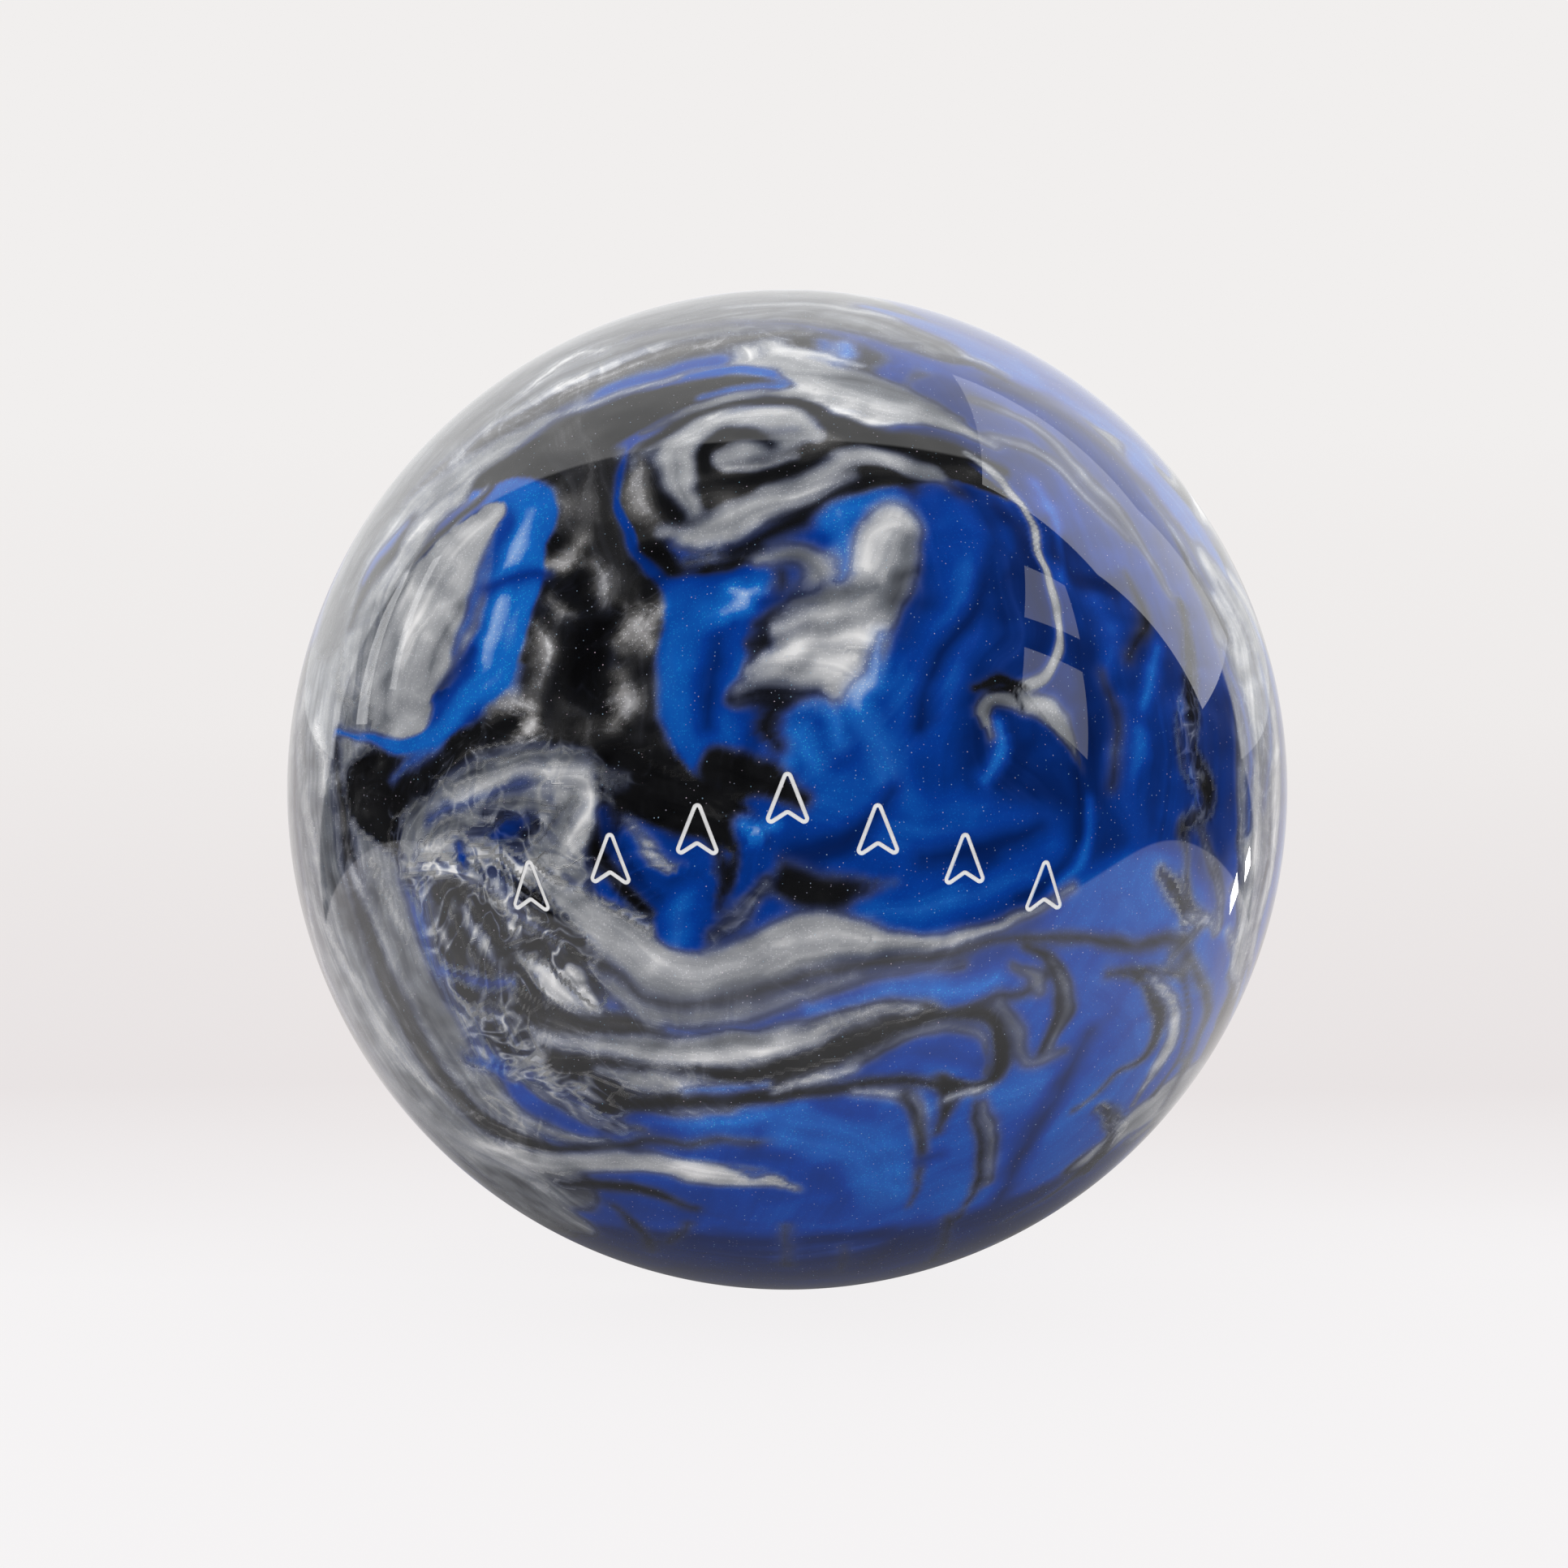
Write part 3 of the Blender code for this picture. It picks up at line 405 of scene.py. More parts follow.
    (BLACK, 0.24, 0.6, 0.5, ((-0.66, -0.23, 0.025), (-0.62, -0.3, 0.034), (-0.56, -0.35, 0.03),
        (-0.5, -0.33, 0.02))),
    (BLACK, 0.3, 0.6, 0.5, ((-0.52, -0.22, 0.012), (-0.46, -0.26, 0.022), (-0.42, -0.3, 0.024),
        (-0.38, -0.33, 0.014))),
    (SILVER, 0.97, 0.8, 0.3, ((-0.635, -0.265, 0.008), (-0.625, -0.29, 0.014), (-0.615, -0.3, 0.006))),
    (SILVER, 0.84, 0.8, 0.3, ((-0.6, -0.315, 0.008), (-0.59, -0.335, 0.01))),
    (BLUE, 0.3, 0.5, 0.0, ((-0.648, -0.118, 0.008), (-0.645, -0.135, 0.014), (-0.642, -0.15, 0.006))),
    (BLUE, 0.26, 0.6, 0.3, ((-0.585, -0.09, 0.012), (-0.56, -0.075, 0.018), (-0.54, -0.06, 0.01))),
    (BLUE, 0.46, 0.9, 0.5, ((-0.73, -0.2, 0.008), (-0.72, -0.3, 0.014), (-0.69, -0.38, 0.014),
        (-0.65, -0.46, 0.012), (-0.62, -0.53, 0.006))),
    (SILVER, 0.66, 0.9, 0.5, ((-0.72, -0.22, 0.004), (-0.7, -0.34, 0.007), (-0.66, -0.44, 0.009),
        (-0.62, -0.51, 0.005))),
    (BLUE, 0.54, 0.9, 0.5, ((-0.68, -0.36, 0.012), (-0.62, -0.385, 0.016), (-0.56, -0.39, 0.012))),
    (BLUE, 0.5, 0.9, 0.4, ((-0.64, -0.53, 0.008), (-0.58, -0.55, 0.012), (-0.5, -0.58, 0.014),
        (-0.42, -0.63, 0.016), (-0.34, -0.68, 0.008))),
    (SILVER, 0.64, 0.9, 0.6, ((-0.64, -0.44, 0.01), (-0.59, -0.45, 0.016), (-0.55, -0.5, 0.01))),
    (SILVER, 0.6, 0.9, 0.6, ((-0.55, -0.57, 0.006), (-0.5, -0.54, 0.01), (-0.48, -0.6, 0.01),
        (-0.42, -0.6, 0.006))),
    (SILVER, 0.58, 0.9, 0.3, ((-0.59, -0.62, 0.012), (-0.52, -0.66, 0.018), (-0.44, -0.69, 0.014),
        (-0.38, -0.7, 0.005))),
    (SILVER, 0.72, 0.6, 0.3, ((-0.52, -0.35, 0.01), (-0.48, -0.38, 0.024), (-0.43, -0.43, 0.03),
        (-0.38, -0.46, 0.022), (-0.34, -0.47, 0.006))),
    (BLACK, 0.44, 0.7, 0.2, ((-0.52, -0.43, 0.014), (-0.45, -0.47, 0.022), (-0.36, -0.49, 0.022),
        (-0.26, -0.47, 0.016))),
    (BLUE, 0.42, 0.3, 0.05, ((-0.25, -0.17, 0.016), (-0.2, -0.19, 0.045), (-0.18, -0.25, 0.065),
        (-0.19, -0.31, 0.045), (-0.2, -0.34, 0.016))),
    (BLUE, 0.64, 1.0, 0.0, ((-0.2, -0.22, 0.022), (-0.21, -0.28, 0.028), (-0.22, -0.32, 0.014))),
    (BLUE, 0.4, 0.6, 0.05, ((-0.07, -0.1, 0.03), (-0.06, -0.16, 0.035), (-0.1, -0.23, 0.025),
        (-0.14, -0.28, 0.016))),
    (BLUE, 0.98, 0.9, 0.1, ((-0.075, -0.075, 0.006), (-0.06, -0.085, 0.014), (-0.04, -0.08, 0.006))),
    (SILVER, 0.3, 1.0, 0.2, ((-0.05, -0.2, 0.006), (-0.09, -0.25, 0.014), (-0.13, -0.29, 0.008))),
    (BLACK, 0.26, 0.7, 0.1, ((-0.15, -0.12, 0.008), (-0.125, -0.18, 0.012), (-0.13, -0.23, 0.005))),
    # smooth silver band that swings under the tongue
    (SILVER, 0.6, 0.7, 0.05, ((-0.47, -0.195, 0.018), (-0.41, -0.235, 0.034), (-0.345, -0.292, 0.048),
        (-0.275, -0.348, 0.054), (-0.2, -0.376, 0.05), (-0.12, -0.37, 0.05), (-0.05, -0.342, 0.054),
        (0.03, -0.306, 0.055), (0.12, -0.298, 0.04), (0.22, -0.312, 0.024), (0.34, -0.295, 0.018),
        (0.46, -0.248, 0.012), (0.56, -0.195, 0.005))),
    (SILVER, 0.84, 1.0, 0.0, ((-0.37, -0.245, 0.01), (-0.31, -0.3, 0.02), (-0.25, -0.345, 0.016),
        (-0.18, -0.362, 0.014), (-0.1, -0.35, 0.008))),
    (SILVER, 0.48, 1.0, 0.0, ((-0.36, -0.33, 0.006), (-0.27, -0.385, 0.01), (-0.18, -0.405, 0.012),
        (-0.08, -0.385, 0.01))),
    (SILVER, 0.78, 1.0, 0.0, ((-0.02, -0.318, 0.01), (0.05, -0.295, 0.02), (0.13, -0.297, 0.012))),
    (SILVER, 0.36, 0.9, 0.0, ((-0.3, -0.4, 0.006), (-0.2, -0.428, 0.009), (-0.1, -0.413, 0.01),
        (0.0, -0.368, 0.01), (0.12, -0.34, 0.01), (0.26, -0.32, 0.008))),
    # striations under it
    (BLACK, 0.6, 1.0, 0.1, ((-0.44, -0.5, 0.07), (-0.3, -0.53, 0.1), (-0.1, -0.54, 0.1), (0.1, -0.49, 0.07),
        (0.26, -0.45, 0.04))),
    (SILVER, 0.46, 1.0, 0.1, ((-0.34, -0.4, 0.012), (-0.24, -0.455, 0.022), (-0.1, -0.465, 0.024),
        (0.06, -0.42, 0.022), (0.22, -0.375, 0.016), (0.34, -0.35, 0.008))),
    (BLACK, 0.5, 0.8, 0.05, ((-0.36, -0.36, 0.01), (-0.27, -0.42, 0.014), (-0.14, -0.425, 0.013),
        (0.0, -0.385, 0.013), (0.12, -0.355, 0.012), (0.26, -0.34, 0.012), (0.38, -0.31, 0.01),
        (0.52, -0.29, 0.012), (0.66, -0.305, 0.014), (0.78, -0.3, 0.012))),
    (SILVER, 0.56, 0.9, 0.05, ((-0.38, -0.37, 0.006), (-0.28, -0.445, 0.012), (-0.14, -0.455, 0.012),
        (0.0, -0.42, 0.01), (0.12, -0.38, 0.006))),
    (BLUE, 0.5, 1.0, 0.0, ((-0.22, -0.48, 0.006), (-0.14, -0.485, 0.01), (-0.02, -0.455, 0.014),
        (0.14, -0.41, 0.016), (0.28, -0.385, 0.02), (0.4, -0.37, 0.014))),
    (BLUE, 0.78, 0.9, 0.1, ((0.05, -0.435, 0.004), (0.12, -0.43, 0.009), (0.24, -0.4, 0.008),
        (0.3, -0.39, 0.003))),
    (BLUE, 0.86, 0.9, 0.1, ((0.32, -0.395, 0.003), (0.37, -0.395, 0.007), (0.4, -0.39, 0.003))),
    (SILVER, 0.7, 0.8, 0.1, ((-0.49, -0.505, 0.006), (-0.38, -0.52, 0.018), (-0.24, -0.53, 0.028),
        (-0.1, -0.52, 0.032), (0.03, -0.49, 0.022), (0.14, -0.46, 0.01), (0.24, -0.44, 0.006))),
    (SILVER, 0.9, 0.9, 0.0, ((-0.32, -0.53, 0.005), (-0.2, -0.54, 0.012), (-0.08, -0.525, 0.01),
        (0.04, -0.5, 0.006))),
    (SILVER, 0.32, 0.9, 0.0, ((-0.36, -0.505, 0.004), (-0.2, -0.515, 0.006), (-0.06, -0.5, 0.005))),
    (BLACK, 0.44, 0.6, 0.1, ((-0.46, -0.55, 0.014), (-0.34, -0.56, 0.02), (-0.2, -0.575, 0.014),
        (-0.04, -0.555, 0.013), (0.12, -0.515, 0.013), (0.26, -0.465, 0.012), (0.36, -0.445, 0.016),
        (0.425, -0.475, 0.022), (0.435, -0.54, 0.022), (0.4, -0.59, 0.018), (0.33, -0.6, 0.014))),
    (SILVER, 0.7, 0.8, 0.1, ((-0.36, -0.57, 0.008), (-0.29, -0.585, 0.022), (-0.21, -0.595, 0.022),
        (-0.12, -0.595, 0.008))),
    (SILVER, 0.58, 1.0, 0.3, ((-0.5, -0.6, 0.006), (-0.42, -0.64, 0.014), (-0.36, -0.67, 0.012),
        (-0.3, -0.68, 0.005))),
    (SILVER, 0.54, 1.0, 0.1, ((-0.28, -0.635, 0.005), (-0.22, -0.65, 0.01), (-0.14, -0.64, 0.006))),
    (SILVER, 0.38, 0.9, 0.0, ((0.14, -0.535, 0.004), (0.26, -0.49, 0.006), (0.34, -0.475, 0.007),
        (0.39, -0.5, 0.005), (0.4, -0.55, 0.003))),
    (BLUE, 0.4, 0.7, 0.0, ((0.22, -0.53, 0.01), (0.31, -0.53, 0.024), (0.37, -0.54, 0.016))),
    (BLACK, 0.34, 0.7, 0.1, ((-0.32, -0.63, 0.014), (-0.2, -0.625, 0.018), (-0.06, -0.61, 0.02),
        (0.08, -0.595, 0.018), (0.2, -0.58, 0.014), (0.32, -0.595, 0.01))),
    (SILVER, 0.97, 0.7, 0.1, ((-0.02, -0.595, 0.003), (0.06, -0.573, 0.007), (0.13, -0.555, 0.005))),
    (BLUE, 0.82, 0.8, 0.1, ((-0.19, -0.605, 0.004), (-0.13, -0.602, 0.009), (-0.06, -0.585, 0.004))),
    (BLUE, 0.7, 0.8, 0.1, ((-0.26, -0.668, 0.005), (-0.16, -0.668, 0.012), (-0.06, -0.645, 0.014),
        (0.02, -0.635, 0.006))),
    (SILVER, 0.7, 0.8, 0.0, ((0.16, -0.6, 0.005), (0.2, -0.605, 0.01), (0.25, -0.62, 0.01),
        (0.265, -0.66, 0.006), (0.27, -0.72, 0.003))),
    (BLACK, 0.4, 0.7, 0.0, ((0.31, -0.59, 0.012), (0.315, -0.63, 0.016), (0.305, -0.68, 0.008))),
    (SILVER, 0.92, 0.8, 0.0, ((0.325, -0.618, 0.003), (0.36, -0.607, 0.005), (0.39, -0.6, 0.002))),
    (BLACK, 0.42, 0.6, 0.05, ((0.49, -0.315, 0.008), (0.53, -0.34, 0.014), (0.555, -0.4, 0.018),
        (0.55, -0.46, 0.018), (0.52, -0.52, 0.01))),
    (SILVER, 0.4, 0.8, 0.0, ((0.535, -0.345, 0.002), (0.562, -0.4, 0.005), (0.556, -0.46, 0.004),
        (0.535, -0.51, 0.002))),
    (BLACK, 0.48, 0.9, 0.0, ((0.36, -0.435, 0.005), (0.42, -0.42, 0.01), (0.48, -0.41, 0.012),
        (0.51, -0.38, 0.008))),
    (SILVER, 0.42, 0.9, 0.0, ((0.46, -0.36, 0.006), (0.495, -0.375, 0.012), (0.51, -0.4, 0.006))),
    (SILVER, 0.36, 1.0, 0.0, ((0.43, -0.44, 0.006), (0.465, -0.48, 0.01), (0.485, -0.55, 0.008),
        (0.55, -0.53, 0.004))),
    # bottom: silver sheet on the left, dark threads in veiled blue
    (BLACK, 0.52, 0.8, 0.05, ((-0.6, -0.665, 0.01), (-0.52, -0.705, 0.014), (-0.4, -0.715, 0.014),
        (-0.26, -0.705, 0.012), (-0.1, -0.7, 0.008), (0.0, -0.69, 0.004))),
    (SILVER, 0.64, 0.7, 0.05, ((-0.6, -0.71, 0.012), (-0.5, -0.745, 0.024), (-0.38, -0.745, 0.024),
        (-0.26, -0.75, 0.026), (-0.15, -0.77, 0.034), (-0.05, -0.775, 0.03), (0.0, -0.79, 0.01))),
    (SILVER, 0.84, 1.0, 0.0, ((-0.48, -0.735, 0.005), (-0.36, -0.735, 0.01), (-0.22, -0.745, 0.01),
        (-0.1, -0.765, 0.012))),
    (BLUE, 0.36, 0.8, 0.1, ((-0.1, -0.755, 0.005), (-0.07, -0.765, 0.012), (-0.04, -0.76, 0.005))),
    (BLACK, 0.42, 0.8, 0.05, ((-0.45, -0.785, 0.01), (-0.36, -0.79, 0.018), (-0.27, -0.805, 0.018),
        (-0.19, -0.835, 0.008))),
    (BLUE, 0.6, 1.0, 0.0, ((-0.29, -0.776, 0.003), (-0.26, -0.778, 0.007))),
    (BLACK, 0.4, 1.0, 0.0, ((-0.34, -0.84, 0.01), (-0.3, -0.88, 0.014), (-0.28, -0.92, 0.008))),
    (BLACK, 0.4, 1.0, 0.0, ((-0.2, -0.87, 0.008), (-0.24, -0.9, 0.012))),
    (BLUE, 0.64, 1.0, 0.0, ((0.02, -0.68, 0.05), (0.14, -0.72, 0.06), (0.18, -0.8, 0.05))),
    (BLUE, 0.6, 1.0, 0.0, ((0.44, -0.62, 0.04), (0.5, -0.6, 0.04), (0.54, -0.58, 0.02))),
    (BLUE, 0.56, 1.0, 0.0, ((0.62, -0.4, 0.04), (0.68, -0.46, 0.04), (0.7, -0.52, 0.03))),
    (BLUE, 0.56, 1.0, 0.0, ((0.66, -0.22, 0.03), (0.7, -0.26, 0.02))),
    (BLACK, 0.44, 0.7, 0.05, ((0.24, -0.62, 0.008), (0.265, -0.68, 0.01), (0.262, -0.76, 0.009),
        (0.245, -0.83, 0.004))),
    (BLACK, 0.44, 0.6, 0.05, ((0.37, -0.64, 0.006), (0.39, -0.7, 0.01), (0.382, -0.78, 0.01),
        (0.345, -0.85, 0.004))),
    (SILVER, 0.3, 0.9, 0.0, ((0.39, -0.64, 0.006), (0.412, -0.7, 0.01), (0.4, -0.78, 0.006))),
    (BLUE, 0.2, 1.0, 0.0, ((0.28, -0.74, 0.006), (0.3, -0.735, 0.003))),
    (BLUE, 0.22, 1.0, 0.0, ((0.6, -0.5, 0.01), (0.54, -0.6, 0.022), (0.48, -0.7, 0.024),
        (0.42, -0.82, 0.02))),
    (BLACK, 0.6, 1.0, 0.0, ((0.44, -0.86, 0.01), (0.54, -0.8, 0.016), (0.62, -0.73, 0.014))),
    (BLACK, 0.44, 1.0, 0.05, ((0.0, -0.88, 0.006), (-0.01, -0.95, 0.01))),
    (BLACK, 0.44, 1.0, 0.05, ((0.11, -0.92, 0.005), (0.11, -0.96, 0.008))),
    (BLACK, 0.4, 1.0, 0.05, ((0.32, -0.86, 0.01), (0.29, -0.94, 0.012))),
    # lower right: dark loops with a silver core
    (BLACK, 0.5, 0.9, 0.1, ((0.79, -0.08, 0.006), (0.8, -0.15, 0.01), (0.8, -0.22, 0.014),
        (0.82, -0.27, 0.014), (0.78, -0.32, 0.01))),
    (BLACK, 0.5, 0.9, 0.3, ((0.75, -0.18, 0.014), (0.775, -0.21, 0.02), (0.79, -0.25, 0.012))),
    (SILVER, 0.6, 0.8, 0.3, ((0.8, -0.255, 0.004), (0.835, -0.255, 0.009), (0.85, -0.27, 0.004))),
    (SILVER, 0.44, 1.0, 0.1, ((0.83, -0.1, 0.006), (0.86, -0.18, 0.012), (0.86, -0.26, 0.008))),
    (BLACK, 0.5, 0.8, 0.1, ((0.65, -0.36, 0.008), (0.69, -0.36, 0.014), (0.73, -0.355, 0.01),
        (0.78, -0.36, 0.012))),
    (BLACK, 0.5, 0.7, 0.1, ((0.71, -0.38, 0.01), (0.735, -0.42, 0.018), (0.745, -0.48, 0.018),
        (0.72, -0.53, 0.014), (0.66, -0.57, 0.008), (0.58, -0.63, 0.006))),
    (SILVER, 0.52, 0.7, 0.1, ((0.74, -0.38, 0.008), (0.765, -0.42, 0.013), (0.775, -0.48, 0.014),
        (0.755, -0.53, 0.018), (0.725, -0.58, 0.013), (0.7, -0.62, 0.006))),
    (SILVER, 0.76, 0.9, 0.0, ((0.775, -0.47, 0.005), (0.765, -0.52, 0.01), (0.74, -0.55, 0.004))),
    (BLACK, 0.44, 0.6, 0.0, ((0.79, -0.38, 0.005), (0.8, -0.45, 0.007), (0.785, -0.53, 0.006),
        (0.74, -0.6, 0.006))),
    (BLACK, 0.54, 1.0, 0.0, ((0.8, -0.34, 0.014), (0.84, -0.42, 0.018), (0.81, -0.52, 0.014),
        (0.76, -0.62, 0.012))),
    (BLACK, 0.44, 0.8, 0.2, ((0.63, -0.64, 0.014), (0.655, -0.67, 0.022), (0.64, -0.71, 0.02),
        (0.6, -0.76, 0.012))),
    (SILVER, 0.66, 0.9, 0.2, ((0.655, -0.668, 0.006), (0.67, -0.675, 0.01))),
]

STROKE_STEP = 0.012  # how far apart the points of a resampled stroke are
EDGE_RAMP = 0.016  # how wide the edge of a crisp stroke is, so that the mesh can carry it
FEATHER_RAMP = 0.046  # how much wider the softest edge is
FRONT_LIMIT = 0.995  # strokes stay this far inside the outline
START_FEATHER, START_MOTTLE, START_TONE = 0.6, 0.05, 0.45  # of the blue that lies under all strokes


def smooth_line(points):
    """A stroke's points and half widths, resampled on a smooth curve through the given ones."""
    points = [np.array(point, float) for point in points]
    points = [2 * points[0] - points[1]] + points + [2 * points[-1] - points[-2]]
    samples = []
    for before, start, end, after in zip(points, points[1:], points[2:], points[3:]):
        steps = max(1, int(np.linalg.norm((end - start)[:3]) / STROKE_STEP))
        for step in range(steps):
            t = step / steps
            samples.append(
                0.5
                * (
                    2 * start
                    + (end - before) * t
                    + (2 * before - 5 * start + 4 * end - after) * t**2
                    + (3 * start - before - 3 * end + after) * t**3
                )
            )
    samples.append(points[-2])
    return np.array(samples)


def front_stroke(points):
    """Directions and half widths along a stroke given on the front disc."""
    directions = []
    for x, y, _ in points:
        length = math.hypot(x, y)
        shrink = min(1.0, FRONT_LIMIT / length) if length else 1.0
        directions.append(front_direction(x * shrink, y * shrink))
    line = smooth_line([(*direction, point[2]) for direction, point in zip(directions, points)])
    line[:, :3] /= np.linalg.norm(line[:, :3], axis=1, keepdims=True)
    return line


class Marbling:
    """Amounts of each pigment, and coordinates along the flow, at every vertex direction."""

    def __init__(self, directions):
        self.places = directions
        self.amounts = np.zeros((len(directions), 3))
        self.amounts[:, BLUE] = 1.0
        self.feather = np.full(len(directions), START_FEATHER)
        self.mottle = np.full(len(directions), START_MOTTLE)
        self.flow = np.zeros((len(directions), 3))
        self.tone = np.full(len(directions), START_TONE)
        self.core = np.zeros(len(directions))
        self.strokes = 0

    def paint(self, pigment, tone, feather, mottle, line):
        """Lays one stroke, given as directions and half widths, over what is there."""
        self.strokes += 1
        ramp = EDGE_RAMP + FEATHER_RAMP * feather
        reach = line[:, 3].max() + ramp
        middle = line[:, :3].mean(0)
        spread = np.linalg.norm(line[:, :3] - middle, axis=1).max() + reach
        near = np.flatnonzero(np.linalg.norm(self.places - middle, axis=1) < spread)
        if not len(near):
            return
        places = self.places[near]
        nearest = (places @ line[:, :3].T).argmax(1)
        tangents = np.gradient(line[:, :3], axis=0)
        tangents /= np.linalg.norm(tangents, axis=1, keepdims=True)
        sides = np.cross(line[:, :3], tangents)
        steps = np.linalg.norm(np.diff(line[:, :3], axis=0), axis=1)
        lengths = np.concatenate([[0.0], np.cumsum(steps)])
        offset = places - line[nearest, :3]
        across = (offset * sides[nearest]).sum(1)
        along = (offset * tangents[nearest]).sum(1)
        past_end = np.maximum(np.abs(along) - STROKE_STEP, 0.0)
        distance = np.hypot(across, past_end)
        cover = np.clip(0.5 + (line[nearest, 3] - distance) / ramp, 0.0, 1.0)
        cover = cover * cover * (3.0 - 2.0 * cover)
        touched = cover > 0.0
        near, cover = near[touched], cover[touched, None]
        target = np.zeros(3)
        target[pigment] = 1.0
        self.amounts[near] += (target - self.amounts[near]) * cover
        self.feather[near] += (feather - self.feather[near]) * cover[:, 0]
        self.mottle[near] += (mottle - self.mottle[near]) * cover[:, 0]
        self.tone[near] += (tone - self.tone[near]) * cover[:, 0]
        self.core[near] += (2.0 * np.abs(cover[:, 0] - 0.5) - self.core[near]) * np.sqrt(cover[:, 0])
        inside = near[cover[:, 0] > 0.5]
        kept = np.flatnonzero(touched)[cover[:, 0] > 0.5]
        self.flow[inside, 0] = across[kept]
        self.flow[inside, 1] = lengths[nearest[kept]] + along[kept]
        self.flow[inside, 2] = self.strokes


WARP_OCTAVES = ((3.0, 0.008), (6.5, 0.011), (13.0, 0.009), (26.0, 0.004))  # (frequency, amount)
WARP_START = Vector((5.0, -5.0, 10.0))  # where in the noise the warp is read


def warped(directions):
    """Directions stirred by smooth noise of several sizes."""
    moved = directions.copy()
    for frequency, amount in WARP_OCTAVES:
        shift = [noise.noise_vector(Vector(place) * frequency + WARP_START) for place in moved]
        moved = moved + np.array(shift) * amount
        moved /= np.linalg.norm(moved, axis=1, keepdims=True)
    return moved


BACK_BUNDLES = 180
BACK_SEED = 11
BACK_STEP = 0.05
BACK_TURN = 1.3  # how quickly the flow changes direction
BACK_START = Vector((3.1, 7.7, 1.3))  # where in the noise the flow is read
BACK_LIMIT = 0.40  # how far towards the front a bundle may start
BACK_CHANCES = (0.32, 0.35, 0.33)  # of a black, silver or blue bundle
BACK_MOTTLES, MOTTLE_CHANCES = (0.0, 0.1, 0.2), (0.6, 0.3, 0.1)
BACK_TONES = (0.36, 0.60)
BACK_FEATHERS = (0.6, 1.0)
BACK_WIDTHS = (0.06, 0.19)
BACK_LENGTHS = (10, 28)  # in steps
STRAND_COUNTS = (4, 10)  # in one bundle
STRAND_TONES = {BLACK: (0.20, 0.66), SILVER: (0.35, 0.98), BLUE: (0.15, 0.90)}
STRAND_FEATHERS = (0.85, 1.0)
STRAND_WIDTHS = (0.012, 0.036)
STRAND_SPREAD = 0.7  # how far strands start from the bundle's start, in its half widths


def flow_line(place, steps, half_width):
    """A stroke that follows the flow from a place and swells in the middle."""
    points = []
    for step in range(steps):
        swell = math.sin(math.pi * (step + 0.5) / steps) ** 0.6
        points.append((*place, half_width * swell))
        flow = place.cross(noise.noise_vector(place * BACK_TURN + BACK_START))
        place = (place + flow.normalized() * BACK_STEP).normalized()
    line = smooth_line(points)
    line[:, :3] /= np.linalg.norm(line[:, :3], axis=1, keepdims=True)
    return line


def back_strokes():
    """Broad strokes with thin strands beside them, following one seeded flow round the rest of the ball."""
    random = np.random.default_rng(BACK_SEED)
    strokes = []
    for _ in range(BACK_BUNDLES):
        start = Vector(random.normal(size=3)).normalized()
        if start.dot(TOWARDS) > BACK_LIMIT:
            continue
        pigment = int(random.choice([BLACK, SILVER, BLUE], p=BACK_CHANCES))
        half_width = random.uniform(*BACK_WIDTHS)
        steps = int(random.integers(*BACK_LENGTHS))
        mottle = float(random.choice(BACK_MOTTLES, p=MOTTLE_CHANCES))
        tone, feather = random.uniform(*BACK_TONES), random.uniform(*BACK_FEATHERS)
        strokes.append((pigment, tone, feather, mottle, flow_line(start, steps, half_width)))
        for _ in range(int(random.integers(*STRAND_COUNTS))):
            aside = Vector(random.normal(size=3)) * half_width * STRAND_SPREAD
            place = (start + aside).normalized()
            strand = int(random.choice([BLACK, SILVER, BLUE]))
            tone, feather = random.uniform(*STRAND_TONES[strand]), random.uniform(*STRAND_FEATHERS)
            length = max(4, int(steps * random.uniform(0.3, 1.0)))
            line = flow_line(place, length, random.uniform(*STRAND_WIDTHS))
            strokes.append((strand, tone, feather, mottle * 0.5, line))
    return strokes


def marble(mesh):
    """Stores the marbling on the cover's mesh."""
    places = np.empty(len(mesh.vertices) * 3)
    mesh.vertices.foreach_get("co", places)
    places = places.reshape(-1, 3) - np.array(CENTRE)
    directions = places / np.linalg.norm(places, axis=1, keepdims=True)
    marbling = Marbling(warped(directions))
    for pigment, tone, feather, mottle, line in back_strokes():
        marbling.paint(pigment, tone, feather, mottle, line)
    for pigment, tone, feather, mottle, points in FRONT_STROKES:
        marbling.paint(pigment, tone, feather, mottle, front_stroke(points))
    for index, name in enumerate(("black", "silver", "blue")):
        attribute = mesh.attributes.new(name, "FLOAT", "POINT")
        attribute.data.foreach_set("value", marbling.amounts[:, index].astype(np.float32))
    for name in ("tone", "feather", "mottle", "core"):
        values = getattr(marbling, name)
        attribute = mesh.attributes.new(name, "FLOAT", "POINT")
        attribute.data.foreach_set("value", values.astype(np.float32))
    attribute = mesh.attributes.new("flow", "FLOAT_VECTOR", "POINT")
    attribute.data.foreach_set("vector", marbling.flow.astype(np.float32).ravel())


